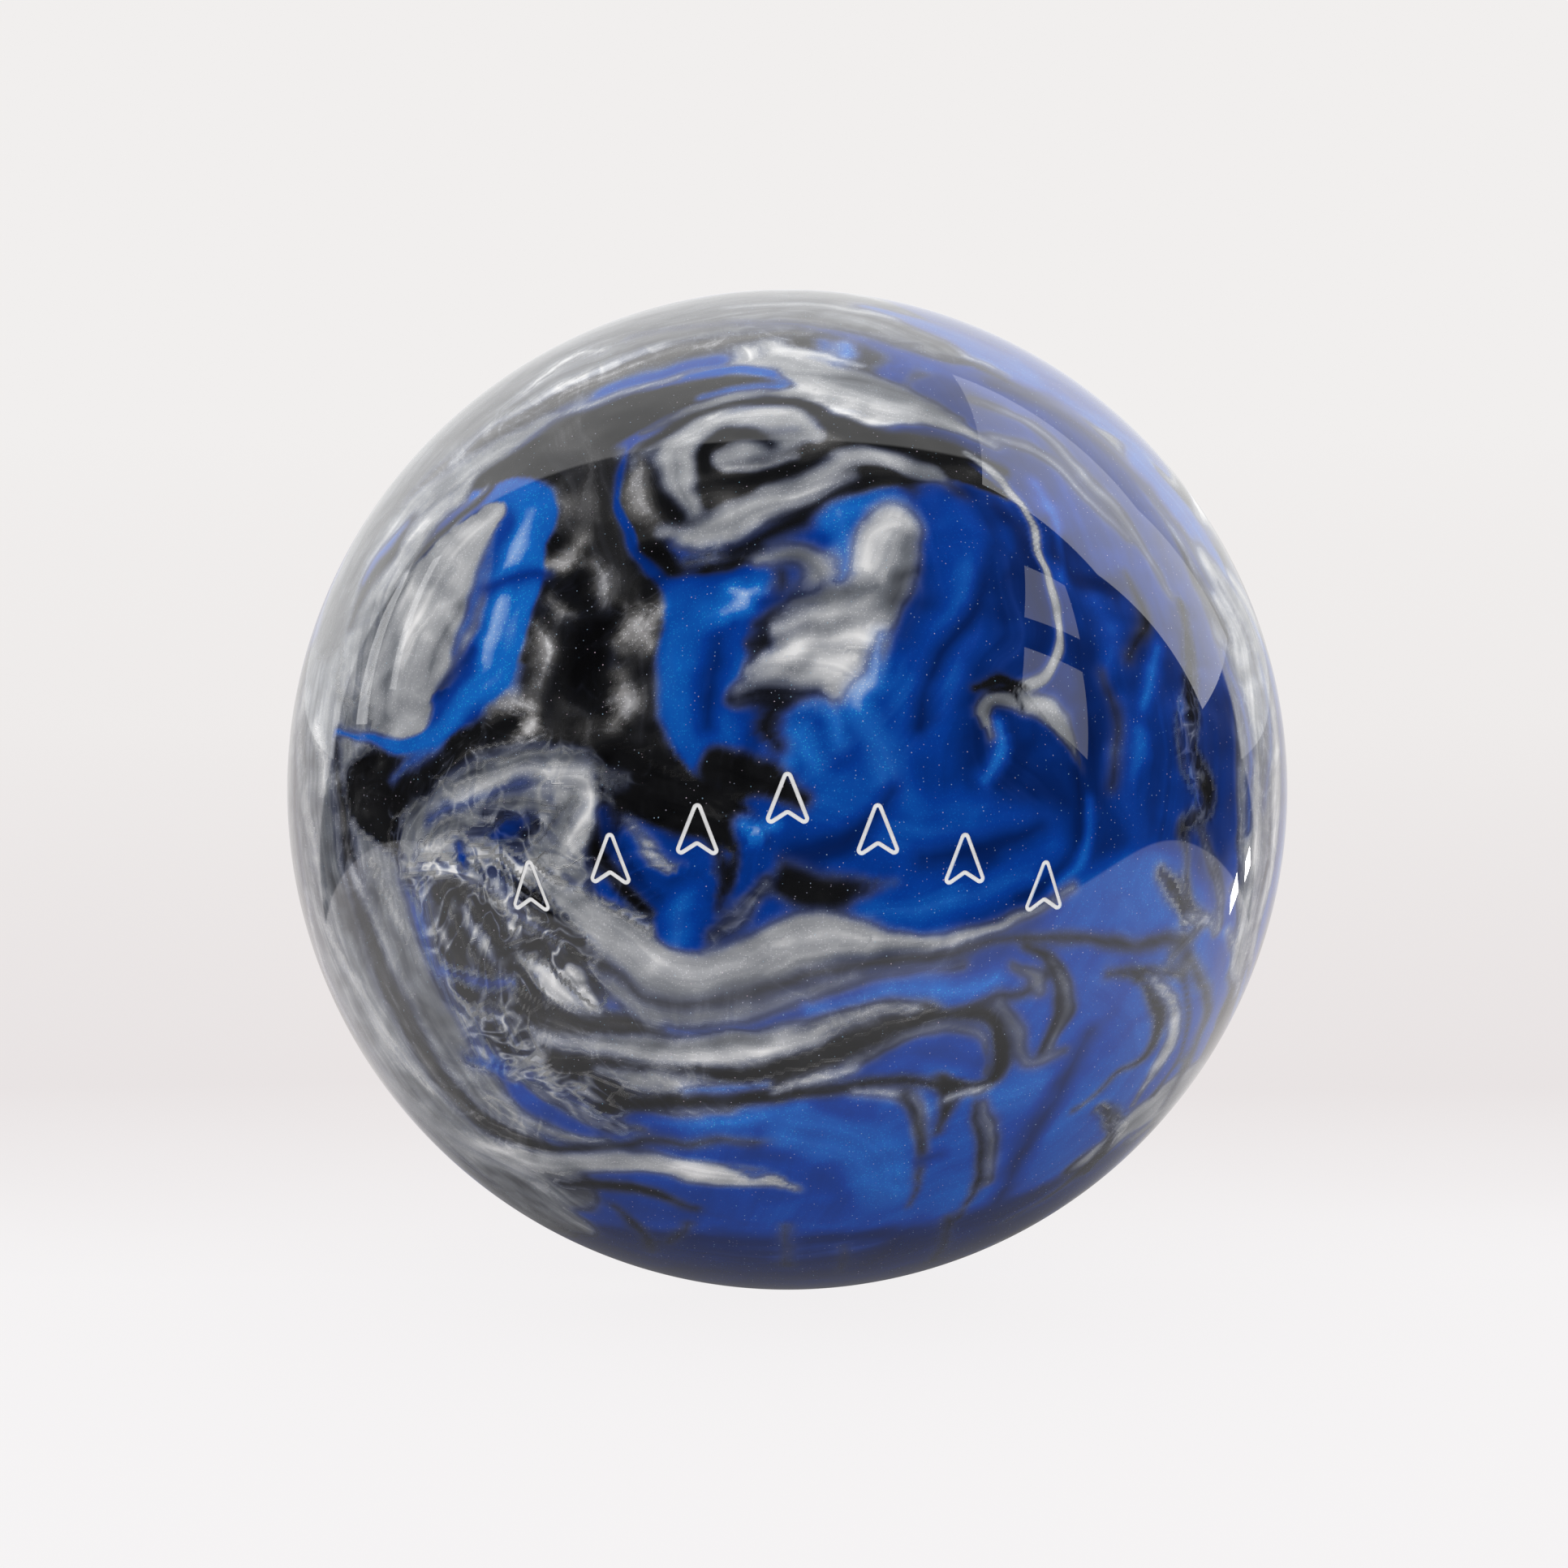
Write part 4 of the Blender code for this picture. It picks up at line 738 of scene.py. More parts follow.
# ---------------------------------------------------------------- node helper
class Graph:
    """Adds shader nodes to a tree in few words."""

    def __init__(self, tree):
        self.tree = tree

    def add(self, kind, inputs=(), **settings):
        node = self.tree.nodes.new(kind)
        for name, value in settings.items():
            setattr(node, name, value)
        for name, value in dict(inputs).items():
            if isinstance(value, bpy.types.NodeSocket):
                self.tree.links.new(value, node.inputs[name])
            else:
                node.inputs[name].default_value = value
        return node

    def math(self, operation, *values):
        return self.add("ShaderNodeMath", enumerate(values), operation=operation).outputs[0]

    def plus(self, first, second):
        return self.math("ADD", first, second)

    def minus(self, first, second):
        return self.math("SUBTRACT", first, second)

    def times(self, first, second):
        return self.math("MULTIPLY", first, second)

    def vector(self, operation, first, second=None, scale=None):
        inputs = {0: first}
        if second is not None:
            inputs[1] = second
        if scale is not None:
            inputs["Scale"] = scale
        node = self.add("ShaderNodeVectorMath", inputs, operation=operation)
        return node.outputs["Value" if operation in ("LENGTH", "DOT_PRODUCT") else "Vector"]

    def mix(self, factor, first, second):
        node = self.add("ShaderNodeMix", {0: factor, 6: first, 7: second}, data_type="RGBA")
        return node.outputs[2]

    def blend(self, factor, first, second):
        node = self.add("ShaderNodeMix", {0: factor, 2: first, 3: second}, data_type="FLOAT")
        return node.outputs[0]

    def range(self, value, low, high, smooth=True):
        kind = "SMOOTHSTEP" if smooth else "LINEAR"
        inputs = {"Value": value, "From Min": low, "From Max": high}
        return self.add("ShaderNodeMapRange", inputs, interpolation_type=kind).outputs[0]

    def noise(self, vector, scale, detail=2.0, roughness=0.5, distortion=0.0):
        """Smooth noise of about -0.5 to 0.5."""
        inputs = {"Vector": vector, "Scale": scale, "Detail": detail}
        inputs |= {"Roughness": roughness, "Distortion": distortion}
        return self.minus(self.add("ShaderNodeTexNoise", inputs).outputs[0], 0.5)

    def roughness(self, value, low, high):
        """Spreads a noise of about -0.5 to 0.5 over the roughness from low to high."""
        inputs = {"Value": value, "From Min": -0.5, "From Max": 0.5, "To Min": low, "To Max": high}
        return self.add("ShaderNodeMapRange", inputs).outputs[0]

    def attribute(self, name, output="Fac"):
        return self.add("ShaderNodeAttribute", attribute_name=name).outputs[output]

    def ramp(self, value, stops):
        """A colour along stops of (place from 0 to 1, colour)."""
        node = self.add("ShaderNodeValToRGB", {"Fac": value})
        elements = node.color_ramp.elements
        for _ in stops[2:]:
            elements.new(0.5)
        for element, (place, colour) in zip(elements, stops):
            element.position = place
            element.color = (*colour, 1.0)
        return node.outputs[0]

    def bump(self, height, distance, strength=1.0):
        inputs = {"Height": height, "Distance": distance, "Strength": strength}
        return self.add("ShaderNodeBump", inputs).outputs[0]


def new_material(name):
    material = bpy.data.materials.new(name)
    material.use_nodes = True
    graph = Graph(material.node_tree)
    return material, graph, material.node_tree.nodes["Principled BSDF"]


def connect(graph, shader, **inputs):
    for name, value in inputs.items():
        socket = shader.inputs[name.replace("_", " ")]
        if isinstance(value, bpy.types.NodeSocket):
            graph.tree.links.new(value, socket)
        else:
            socket.default_value = value


def ball_place(graph):
    """The place on or in the ball, from its centre, in ball radii."""
    place = graph.add("ShaderNodeTexCoord").outputs["Object"]
    return graph.vector("SCALE", graph.vector("SUBTRACT", place, tuple(CENTRE)), scale=1.0 / RADIUS)


# ---------------------------------------------------------------- materials
# Colours of each pigment along its tone. Their palest ends paint highlights: glints on silver and blue, lit
# lumps on black.
SILVER_TONES = (
    (0.00, (0.020, 0.020, 0.022)),
    (0.25, (0.060, 0.065, 0.076)),
    (0.50, (0.185, 0.198, 0.220)),
    (0.75, (0.430, 0.440, 0.460)),
    (1.00, (0.940, 0.935, 0.930)),
)
BLACK_TONES = (
    (0.00, (0.0015, 0.0015, 0.0018)),
    (0.35, (0.0070, 0.0073, 0.0082)),
    (0.52, (0.0230, 0.0228, 0.0232)),
    (0.70, (0.0900, 0.0880, 0.0870)),
    (0.86, (0.2800, 0.2750, 0.2750)),
    (1.00, (0.6500, 0.6400, 0.6400)),
)
BLUE_TONES = (
    (0.00, (0.000, 0.003, 0.025)),
    (0.25, (0.000, 0.017, 0.130)),
    (0.48, (0.001, 0.046, 0.330)),
    (0.75, (0.006, 0.150, 0.600)),
    (1.00, (0.420, 0.640, 0.980)),
)
GLOSS_IOR = 1.62
# Direction of the light whose shading of the relief is painted into the pearl's tone.
PAINTED_LIGHT_FROM = (UPWARDS * 0.85 - RIGHT * 0.30 + TOWARDS * 0.30).normalized()


def flow_noise(graph, stretch, distortion):
    """Noise drawn out along the strokes."""
    stretched = graph.vector("MULTIPLY", graph.attribute("flow", "Vector"), stretch)
    return graph.noise(stretched, 1.0, 1.0, 0.5, distortion)


def curled_place(graph, place):
    """The place moved by soft noise, so that what is read there curls."""
    curl = graph.add("ShaderNodeTexNoise", {"Vector": place, "Scale": 3.2, "Detail": 1.0}).outputs["Color"]
    curl = graph.vector("SCALE", graph.vector("SUBTRACT", curl, (0.5,) * 3), scale=0.5)
    return graph.vector("ADD", place, curl)


def web_strands(graph, place, curled):
    """Thin threads that join up, about 0.5 on a thread and -0.3 away from it."""
    web_place = graph.vector("ADD", curled, graph.vector("SCALE", place, scale=0.4))
    web = graph.noise(web_place, 12.0, 1.0, 0.5, 0.8)
    strands = graph.minus(0.5, graph.times(graph.math("ABSOLUTE", web), 7.0))
    return graph.math("MAXIMUM", strands, -0.3)


def pigment_shares(graph, streaks, drops, strands):
    """How much of the surface is silver and how much is black, and how far it is from the silver's edge."""
    feather, mottle = graph.attribute("feather"), graph.attribute("mottle")
    black, silver, blue = (graph.attribute(name) for name in ("black", "silver", "blue"))
    ragged = graph.times(graph.times(streaks, graph.attribute("core")), graph.range(feather, 0.6, 1.0))
    broken = graph.times(graph.plus(graph.times(drops, 4.5), graph.times(strands, 2.4)), mottle)
    wander = graph.plus(graph.times(ragged, 0.5), broken)
    softness = graph.plus(graph.blend(feather, 0.30, 1.15), graph.times(mottle, 0.9))
    hardness = graph.times(softness, -1.0)
    silver_lead = graph.plus(graph.minus(silver, blue), wander)
    black_lead = graph.minus(graph.minus(black, graph.math("MAXIMUM", silver, blue)), wander)
    silver_share = graph.range(silver_lead, hardness, softness)
    black_share = graph.range(black_lead, hardness, softness)
    return silver_share, black_share, graph.range(graph.math("ABSOLUTE", silver_lead), 0.0, 0.5)


def with_flake_glints(graph, place, colour):
    """Adds scattered flakes, blue to pink, painted as bright specks that stand in for their glints."""
    flakes = graph.add("ShaderNodeTexVoronoi", {"Vector": place, "Scale": 135.0, "Randomness": 1.0})
    chosen = graph.add("ShaderNodeSeparateColor", {"Color": flakes.outputs["Color"]})
    inside = graph.range(flakes.outputs["Distance"], 0.20, 0.08)
    flake_glint = graph.times(inside, graph.range(chosen.outputs[0], 0.66, 0.74))
    tint = graph.mix(chosen.outputs[1], (0.35, 0.75, 1.0, 1.0), (1.0, 0.75, 0.9, 1.0))
    share = graph.times(flake_glint, graph.blend(chosen.outputs[2], 0.0, 0.55))
    return graph.mix(share, colour, tint)


def with_painted_glints(graph, place, tone, colour):
    """Paints glints: brightens the colour in fine specks, most of all where it is pale."""
    glint_cells = graph.add("ShaderNodeTexVoronoi", {"Vector": place, "Scale": 300.0, "Randomness": 1.0})
    jitter = graph.add("ShaderNodeSeparateColor", {"Color": glint_cells.outputs["Color"]})
    painted_glint = graph.times(graph.range(jitter.outputs[0], 0.55, 1.0), graph.range(tone, 0.25, 0.95))
    painted_glint = graph.times(painted_glint, graph.range(glint_cells.outputs["Distance"], 0.55, 0.15))
    bright = graph.vector("MINIMUM", graph.vector("SCALE", colour, scale=5.0), (0.95, 0.95, 1.0))
    return graph.mix(graph.times(painted_glint, 0.60), colour, bright)


def cover_material():
    """Pearl resin in three pigments under a polished clear surface."""
    material, graph, shader = new_material("cover_pearl_resin")
    place = ball_place(graph)
    outwards = graph.vector("NORMALIZE", place)
    curled = curled_place(graph, place)
    mottle, core = graph.attribute("mottle"), graph.attribute("core")
    stir = graph.noise(curled, 4.5, 1.0, 0.4, 0.3)
    lumps = graph.noise(place, 15.0, 0.0, 0.4, 0.3)
    fine_streaks = flow_noise(graph, (75.0, 2.6, 3.7), 0.1)
    streaks = graph.plus(flow_noise(graph, (30.0, 1.9, 3.7), 0.35), graph.times(fine_streaks, 0.6))
    round_drops = graph.noise(place, 25.0, 0.5, 0.4, 0.5)
    long_drops = flow_noise(graph, (34.0, 8.0, 3.7), 0.6)
    drops = graph.times(graph.plus(round_drops, graph.times(long_drops, core)), 0.8)
    strands = web_strands(graph, place, curled)
    silver_share, black_share, off_outline = pigment_shares(graph, streaks, drops, strands)

    height = graph.plus(graph.times(lumps, 0.9), graph.times(stir, 1.5))
    height = graph.plus(height, graph.times(graph.times(drops, mottle), 1.2))
    pearl = graph.math("MAXIMUM", silver_share, black_share)
    relief = graph.bump(height, 0.0012, graph.blend(pearl, 0.35, 1.0))
    # Painted light and shade: how far the relief tilts towards that light, added to the tone so that lumps
    # look lit on one side.
    painted_relief_light = graph.vector("DOT_PRODUCT", graph.vector("SUBTRACT", relief, outwards), tuple(PAINTED_LIGHT_FROM))

    tone = graph.plus(graph.attribute("tone"), graph.times(painted_relief_light, 0.75))
    streak_depth = graph.times(core, graph.blend(silver_share, 0.14, 0.55))
    streak_depth = graph.times(streak_depth, graph.blend(graph.attribute("feather"), 0.10, 1.0))
    streak_depth = graph.times(streak_depth, graph.blend(graph.range(stir, -0.20, 0.15), 0.5, 1.1))
    tone = graph.plus(tone, graph.times(streaks, streak_depth))
    tone = graph.plus(tone, graph.times(stir, graph.blend(silver_share, 0.30, 0.70)))
    lit_drops = graph.plus(graph.times(long_drops, 0.9), graph.times(strands, 0.5))
    tone = graph.plus(tone, graph.times(lit_drops, mottle))
    tone = graph.minus(tone, graph.blend(off_outline, 0.10, 0.0))

    colour = graph.mix(silver_share, graph.ramp(tone, BLUE_TONES), graph.ramp(tone, SILVER_TONES))
    colour = graph.mix(black_share, colour, graph.ramp(tone, BLACK_TONES))
    colour = with_painted_glints(graph, place, tone, with_flake_glints(graph, place, colour))
    connect(
        graph,
        shader,
        Base_Color=colour,
        Metallic=graph.blend(black_share, 0.20, 0.05),
        Roughness=graph.roughness(stir, 0.30, 0.48),
        Normal=relief,
        Specular_IOR_Level=0.03,
        Coat_Weight=1.0,
        Coat_Roughness=0.008,
        Coat_IOR=GLOSS_IOR,
        Coat_Normal=outwards,
    )
    return material


def cast_material(name, dark, pale, scale, roughness, coat=0.0):
    """Cast resin: clouded colour, a little grain and a few fine bubbles."""
    material, graph, shader = new_material(name)
    place = ball_place(graph)
    cloud = graph.noise(place, scale, 4.0, 0.6, 0.3)
    speck = graph.noise(place, scale * 14.0, 2.0, 0.5)
    tone = graph.plus(cloud, graph.times(speck, 0.35))
    connect(
        graph,
        shader,
        Base_Color=graph.mix(graph.range(tone, -0.35, 0.35), dark, pale),
        Roughness=graph.roughness(tone, roughness, roughness + 0.15),
        Normal=graph.bump(speck, 0.0002, 0.4),
        Coat_Weight=coat,
        Coat_Roughness=0.01,
    )
    return material


# ---------------------------------------------------------------- cover
GRID = 121  # quads along each of the six sides of the cover's sphere
FRONT_DENSITY = 1.8  # how much closer the points are at the front than on an even sphere
SHARP_ANGLE = math.radians(40)
WALL = 0.019
PIN_RADIUS = 0.00475
LINE_WIDTH = 0.00095
GROOVE_DEPTH = 0.0010
GROOVE_TAPER = 0.8  # the width of a groove's bottom, as a share of its top
PAINT_DEPTH = 0.00016
PAINT_DIP = 0.00008  # how far the middle of a painted line lies under its edges
PAINT_GAP = 0.0001  # between the paint and the bottom of its groove
SIDE_GAP = 0.00001  # between a filling and the wall beside it
CUT_PAST = 0.001  # how far a cutter reaches out of the ball
ARROW_OUTLINE = ((0.0, 0.0060), (-0.0046, -0.0056), (0.0, -0.0026), (0.0046, -0.0056))
ARROW_COUNT = 7
ARROW_PITCH = math.radians(9.6)
ARROW_CENTRE_LATITUDE = math.radians(5.1)
ARROW_STEP_DOWN = math.radians(3.4)
CORNER_RADIUS = 0.00062
CORNER_STEPS = 8
CG_RADIUS = 0.0013
CG_ARC = 0.0254
CG_SEGMENTS = 32
PIN_SEGMENTS = 64
DOME_STEPS = 6
HOLLOW_RINGS = 24


def cube_sphere(count):
    """Points and quads of a sphere of radius 1 made of six evenly divided sides."""
    angles = np.tan(np.linspace(-math.pi / 4, math.pi / 4, count + 1))
    across, up = np.meshgrid(angles, angles, indexing="ij")
    one = np.ones_like(across)
    sides = [(one, across, up), (-one, -across, up), (-across, one, up)]
    sides += [(across, -one, up), (across, up, one), (across, -up, -one)]
    points = np.concatenate([np.stack([axis.ravel() for axis in side], 1) for side in sides])
    points /= np.linalg.norm(points, axis=1, keepdims=True)
    corner = np.arange((count + 1) ** 2).reshape(count + 1, count + 1)
    quads = np.stack([corner[:-1, :-1], corner[1:, :-1], corner[1:, 1:], corner[:-1, 1:]], 2).reshape(-1, 4)
    quads = np.concatenate([quads + index * (count + 1) ** 2 for index in range(6)])
    normals = np.cross(points[quads[:, 1]] - points[quads[:, 0]], points[quads[:, 3]] - points[quads[:, 0]])
    inwards = (normals * points[quads[:, 0]]).sum(1) < 0
    quads[inwards] = quads[inwards, ::-1]
    _, first, index = np.unique(np.round(points, 6) + 0.0, axis=0, return_index=True, return_inverse=True)
    return points[first], index.reshape(-1)[quads]


def drawn_forward(points):
    """The same sphere with its points drawn towards the front, where the finest marbling is."""
    towards = np.array(TOWARDS)
    forward = points @ towards
    flat = (points - forward[:, None] * towards) / (FRONT_DENSITY * (1.0 + forward[:, None] + 1e-9))
    square = (flat**2).sum(1, keepdims=True)
    return (2.0 * flat + (1.0 - square) * towards) / (1.0 + square)


def rounded_outline(points):
    """An arrow's centre line with its corners rounded."""
    points = [Vector(point) for point in points]
    outline = []
    for index, corner in enumerate(points):
        before = (points[index - 1] - corner).normalized()
        after = (points[(index + 1) % len(points)] - corner).normalized()
        half_angle = before.angle(after) / 2
        centre = corner + (before + after).normalized() * (CORNER_RADIUS / math.sin(half_angle))
        start = corner + before * (CORNER_RADIUS / math.tan(half_angle)) - centre
        end = corner + after * (CORNER_RADIUS / math.tan(half_angle)) - centre
        for step in range(CORNER_STEPS + 1):
            outline.append(centre + start.slerp(end, step / CORNER_STEPS).normalized() * CORNER_RADIUS)
    return outline


def offset_outline(points, distance):
    """An anticlockwise outline moved outwards by this distance."""
    moved = []
    for index, point in enumerate(points):
        before = (point - points[index - 1]).normalized()
        after = (points[(index + 1) % len(points)] - point).normalized()
        normals = Vector((before.y, -before.x)), Vector((after.y, -after.x))
        moved.append(point + (normals[0] + normals[1]) * (distance / (1.0 + normals[0].dot(normals[1]))))
    return moved


def arrow_ring(bm, index, rings):
    """Adds one arrow as a closed ring. Each of rings is (offset from the centre line, radius)."""
    place = index - ARROW_COUNT // 2
    latitude = ARROW_CENTRE_LATITUDE - abs(place) * ARROW_STEP_DOWN
    turn = Matrix.Rotation(place * ARROW_PITCH, 3, "Z") @ Matrix.Rotation(-latitude, 3, "X")
    centre_line = rounded_outline(ARROW_OUTLINE)
    loops = []
    for offset, radius in rings:
        outline = offset_outline(centre_line, offset)
        directions = [turn @ Vector((x, -RADIUS, z)).normalized() for x, z in outline]
        loops.append([bm.verts.new(CENTRE + direction * radius) for direction in directions])
    for loop, next_loop in zip(loops, loops[1:] + loops[:1]):
        for corner in range(len(centre_line)):
            before = corner - 1
            bm.faces.new((loop[before], loop[corner], next_loop[corner], next_loop[before]))


def plug(bm, radius, low, high, tilt, segments, domed):
    """Adds an upright plug on an axis tilted back from the pin's."""
    tilted = Matrix.Translation(CENTRE) @ Matrix.Rotation(-tilt, 4, "X")
    rings = [(radius, low)]
    steps = DOME_STEPS if domed else 1
    for step in range(steps):
        distance = radius * (1 - step / steps)
        height = math.sqrt(high**2 - distance**2) if domed else high
        rings.append((distance, height))
    loops = []
    for distance, height in rings:
        turns = [math.tau * index / segments for index in range(segments)]
        places = [Vector((distance * math.cos(turn), distance * math.sin(turn), height)) for turn in turns]
        loops.append([bm.verts.new(tilted @ place) for place in places])
    for loop, next_loop in zip(loops, loops[1:]):
        for index in range(segments):
            bm.faces.new((loop[index - 1], loop[index], next_loop[index], next_loop[index - 1]))
    bm.faces.new(loops[0][::-1])
    bm.faces.new(loops[-1])


def hollow(bm):
    """Adds the space inside the cover, with the pin's hole that opens it at the top."""
    inside = RADIUS - WALL
    first = math.asin(PIN_RADIUS / inside)
    angles = [first + (math.pi - first) * step / HOLLOW_RINGS for step in range(HOLLOW_RINGS)]
    rings = [(PIN_RADIUS, RADIUS + CUT_PAST)]
    rings += [(inside * math.sin(angle), inside * math.cos(angle)) for angle in angles]
    loops = []
    for distance, height in rings:
        turns = [math.tau * index / PIN_SEGMENTS for index in range(PIN_SEGMENTS)]
        places = [Vector((distance * math.cos(turn), distance * math.sin(turn), height)) for turn in turns]
        loops.append([bm.verts.new(CENTRE + place) for place in places])
    for loop, next_loop in zip(loops, loops[1:]):
        for index in range(PIN_SEGMENTS):
            bm.faces.new((loop[index - 1], loop[index], next_loop[index], next_loop[index - 1]))
    bm.faces.new(loops[0])
    bottom = bm.verts.new(CENTRE - Vector((0.0, 0.0, inside)))
    for index in range(PIN_SEGMENTS):
        bm.faces.new((loops[-1][index - 1], loops[-1][index], bottom))


def finish_mesh(bm, name, material=None):
    bmesh.ops.recalc_face_normals(bm, faces=bm.faces)
    mesh = bpy.data.meshes.new(name)
    bm.to_mesh(mesh)
    bm.free()
    mesh.shade_smooth()
    mesh.set_sharp_from_angle(angle=SHARP_ANGLE)
    obj = bpy.data.objects.new(name, mesh)
    bpy.context.scene.collection.objects.link(obj)
    if material:
        mesh.materials.append(material)
    return obj


def build_cover(material):
    """The cover as a dense sphere with its grooves and its hollow cut out, and marbled."""
    points, quads = cube_sphere(GRID)
    points = drawn_forward(points)
    mesh = bpy.data.meshes.new("cover_shell")
    mesh.from_pydata((points * RADIUS + np.array(CENTRE)).tolist(), [], quads.tolist())
    cover = bpy.data.objects.new("cover_shell", mesh)
    bpy.context.scene.collection.objects.link(cover)

    bm = bmesh.new()
    half = LINE_WIDTH / 2
    top, bottom = RADIUS + CUT_PAST, RADIUS - GROOVE_DEPTH
    groove = ((half, top), (-half, top), (-half * GROOVE_TAPER, bottom), (half * GROOVE_TAPER, bottom))
    for index in range(ARROW_COUNT):
        arrow_ring(bm, index, groove)
    plug(bm, CG_RADIUS, bottom, top, CG_ARC / RADIUS, CG_SEGMENTS, False)
    hollow(bm)
    cutter = finish_mesh(bm, "cover_cutter")
    cut = cover.modifiers.new("cut", "BOOLEAN")
    cut.operation, cut.solver, cut.object = "DIFFERENCE", "EXACT", cutter
    graph = bpy.context.evaluated_depsgraph_get()
    cut_mesh = bpy.data.meshes.new_from_object(cover.evaluated_get(graph))
    cover.modifiers.clear()
    cover.data = cut_mesh
    bpy.data.objects.remove(cutter)
    cut_mesh.shade_smooth()
    cut_mesh.set_sharp_from_angle(angle=SHARP_ANGLE)
    cut_mesh.materials.clear()
    cut_mesh.materials.append(material)
    marble(cut_mesh)
    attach(cover, "root")
    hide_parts("coverstock")


def build_marks(paint, pin_resin):
    """The paint in the arrows and in the dot, and the pin."""
    half = LINE_WIDTH / 2 - SIDE_GAP
    top, bottom = RADIUS - PAINT_DEPTH, RADIUS - GROOVE_DEPTH + PAINT_GAP
    line = ((half, top), (0.0, top - PAINT_DIP), (-half, top))
    line += ((-half * GROOVE_TAPER, bottom), (half * GROOVE_TAPER, bottom))
    for index in range(ARROW_COUNT):
        bm = bmesh.new()
        arrow_ring(bm, index, line)
        arrow = finish_mesh(bm, f"mark_arrow_{index + 1}", paint)
        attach(arrow, "root")
        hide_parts(f"arrow_paint_{index + 1}")
    bm = bmesh.new()
    plug(bm, CG_RADIUS - SIDE_GAP, bottom, top, CG_ARC / RADIUS, CG_SEGMENTS, False)
    dot = finish_mesh(bm, "mark_cg_dot", paint)
    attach(dot, "root")
    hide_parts("cg_mark_paint")
    bm = bmesh.new()
    plug(bm, PIN_RADIUS - SIDE_GAP, RADIUS - WALL, RADIUS, 0.0, PIN_SEGMENTS, True)
    pin = finish_mesh(bm, "pin_plug", pin_resin)
    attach(pin, "root")
    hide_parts("locator_pin")


# (darkest colour, palest colour)
WHITE_PAINT = (0.80, 0.80, 0.80, 1.0), (0.92, 0.92, 0.92, 1.0)
SLATE_RESIN = (0.06, 0.09, 0.16, 1.0), (0.14, 0.18, 0.27, 1.0)
# (CAD node, material, darkest colour, palest colour, scale of the clouding, roughness)
INSIDE_LOOKS = (
    ("filler_core", "filler_cast", (0.30, 0.28, 0.24, 1.0), (0.52, 0.50, 0.45, 1.0), 6.0, 0.62),
    ("weight_block", "block_cast", (0.20, 0.06, 0.05, 1.0), (0.42, 0.16, 0.12, 1.0), 9.0, 0.55),
    ("core_dowel", "dowel_cast", (0.52, 0.50, 0.45, 1.0), (0.72, 0.70, 0.66, 1.0), 30.0, 0.45),
)


def build_inside():
    """The pieces inside the cover keep their CAD shapes and get cast materials."""
    for name, material_name, dark, pale, scale, roughness in INSIDE_LOOKS:
        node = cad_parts[name]
        node.data.materials.clear()
        node.data.materials.append(cast_material(material_name, dark, pale, scale, roughness))


# ---------------------------------------------------------------- studio
FLOOR_RADIUS = 12.0
FLOOR_SIDES = 64
LIT_FLOOR = (0.80, 0.235, 1.0)  # how far to the sides and to the front the gloss sees the floor lit
PAPER_LENGTH = 5.0
PAPER_SWEEP = (  # painted light: colours of the glowing paper from the ball to the backdrop, palest in front of the ball and darkest a little behind it
    (0.000, (0.915, 0.898, 0.904)),
    (0.012, (0.900, 0.880, 0.885)),
    (0.055, (0.810, 0.772, 0.772)),
    (0.260, (0.860, 0.835, 0.828)),
    (0.800, (0.880, 0.862, 0.855)),
)
PAPER_FAR = (0.880, 0.862, 0.855, 1.0)
PAPER_GLOW = 0.95
WORLD_LIGHT = (1.10, 1.10, 1.10, 1.0)
ROOM_DARK = (0.006, 0.006, 0.008, 1.0)
ROOM_LOW, ROOM_RISE = -0.60, 0.68  # where the dark room ends, level with the ball and above it
GLOSS_SURROUND = (  # brightness of the wall that the gloss sees, from beside the ball to straight behind it
    (0.00, (1.00, 1.00, 1.00)),
    (0.55, (1.20, 1.20, 1.20)),
    (0.72, (1.55, 1.55, 1.55)),
    (0.88, (1.10, 1.10, 1.10)),
    (1.00, (0.95, 0.95, 0.95)),
)
# Lit panels that show only in the gloss: where their corners show on the front disc, then
# (name, distance from the ball's surface, strength, corners)
STRIP_LIGHT = ((0.33, 0.83), (0.39, 0.61), (0.62, 0.43), (0.83, 0.16), (0.88, 0.30), (0.70, 0.56))
WINDOW_PANE_1 = ((0.474, 0.448), (0.555, 0.408), (0.585, 0.300), (0.474, 0.345))
WINDOW_PANE_2 = ((0.474, 0.285), (0.590, 0.235), (0.600, 0.060), (0.530, 0.125), (0.468, 0.205))
LAMP_1 = ((0.884, -0.251), (0.901, -0.205), (0.899, -0.166), (0.886, -0.215))
LAMP_2 = ((0.914, -0.185), (0.926, -0.150), (0.9245, -0.114), (0.916, -0.145))
SIDE_BAR_1 = ((-0.862, 0.130), (-0.840, 0.130), (-0.775, 0.390), (-0.745, 0.460), (-0.808, 0.350))
SIDE_BAR_2 = ((-0.795, 0.200), (-0.782, 0.200), (-0.690, 0.470), (-0.708, 0.460))
REFLECTIONS = (
    ("strip_light", 1.5, 2.1, STRIP_LIGHT),
    ("window_pane_1", 1.5, 1.3, WINDOW_PANE_1),
    ("window_pane_2", 1.5, 1.3, WINDOW_PANE_2),
    ("lamp_1", 0.2, 24.0, LAMP_1),
    ("lamp_2", 0.2, 24.0, LAMP_2),
    ("side_bar_1", 1.5, 1.9, SIDE_BAR_1),
    ("side_bar_2", 1.5, 1.6, SIDE_BAR_2),
)
CAMERA_LENS = 137.0
CAMERA_SENSOR = 36.0
CAMERA_REACH = 100.0
CAMERA_AIM = Vector((-0.0007, 0.0, 0.0012))  # how far from the ball's centre the middle of the picture is


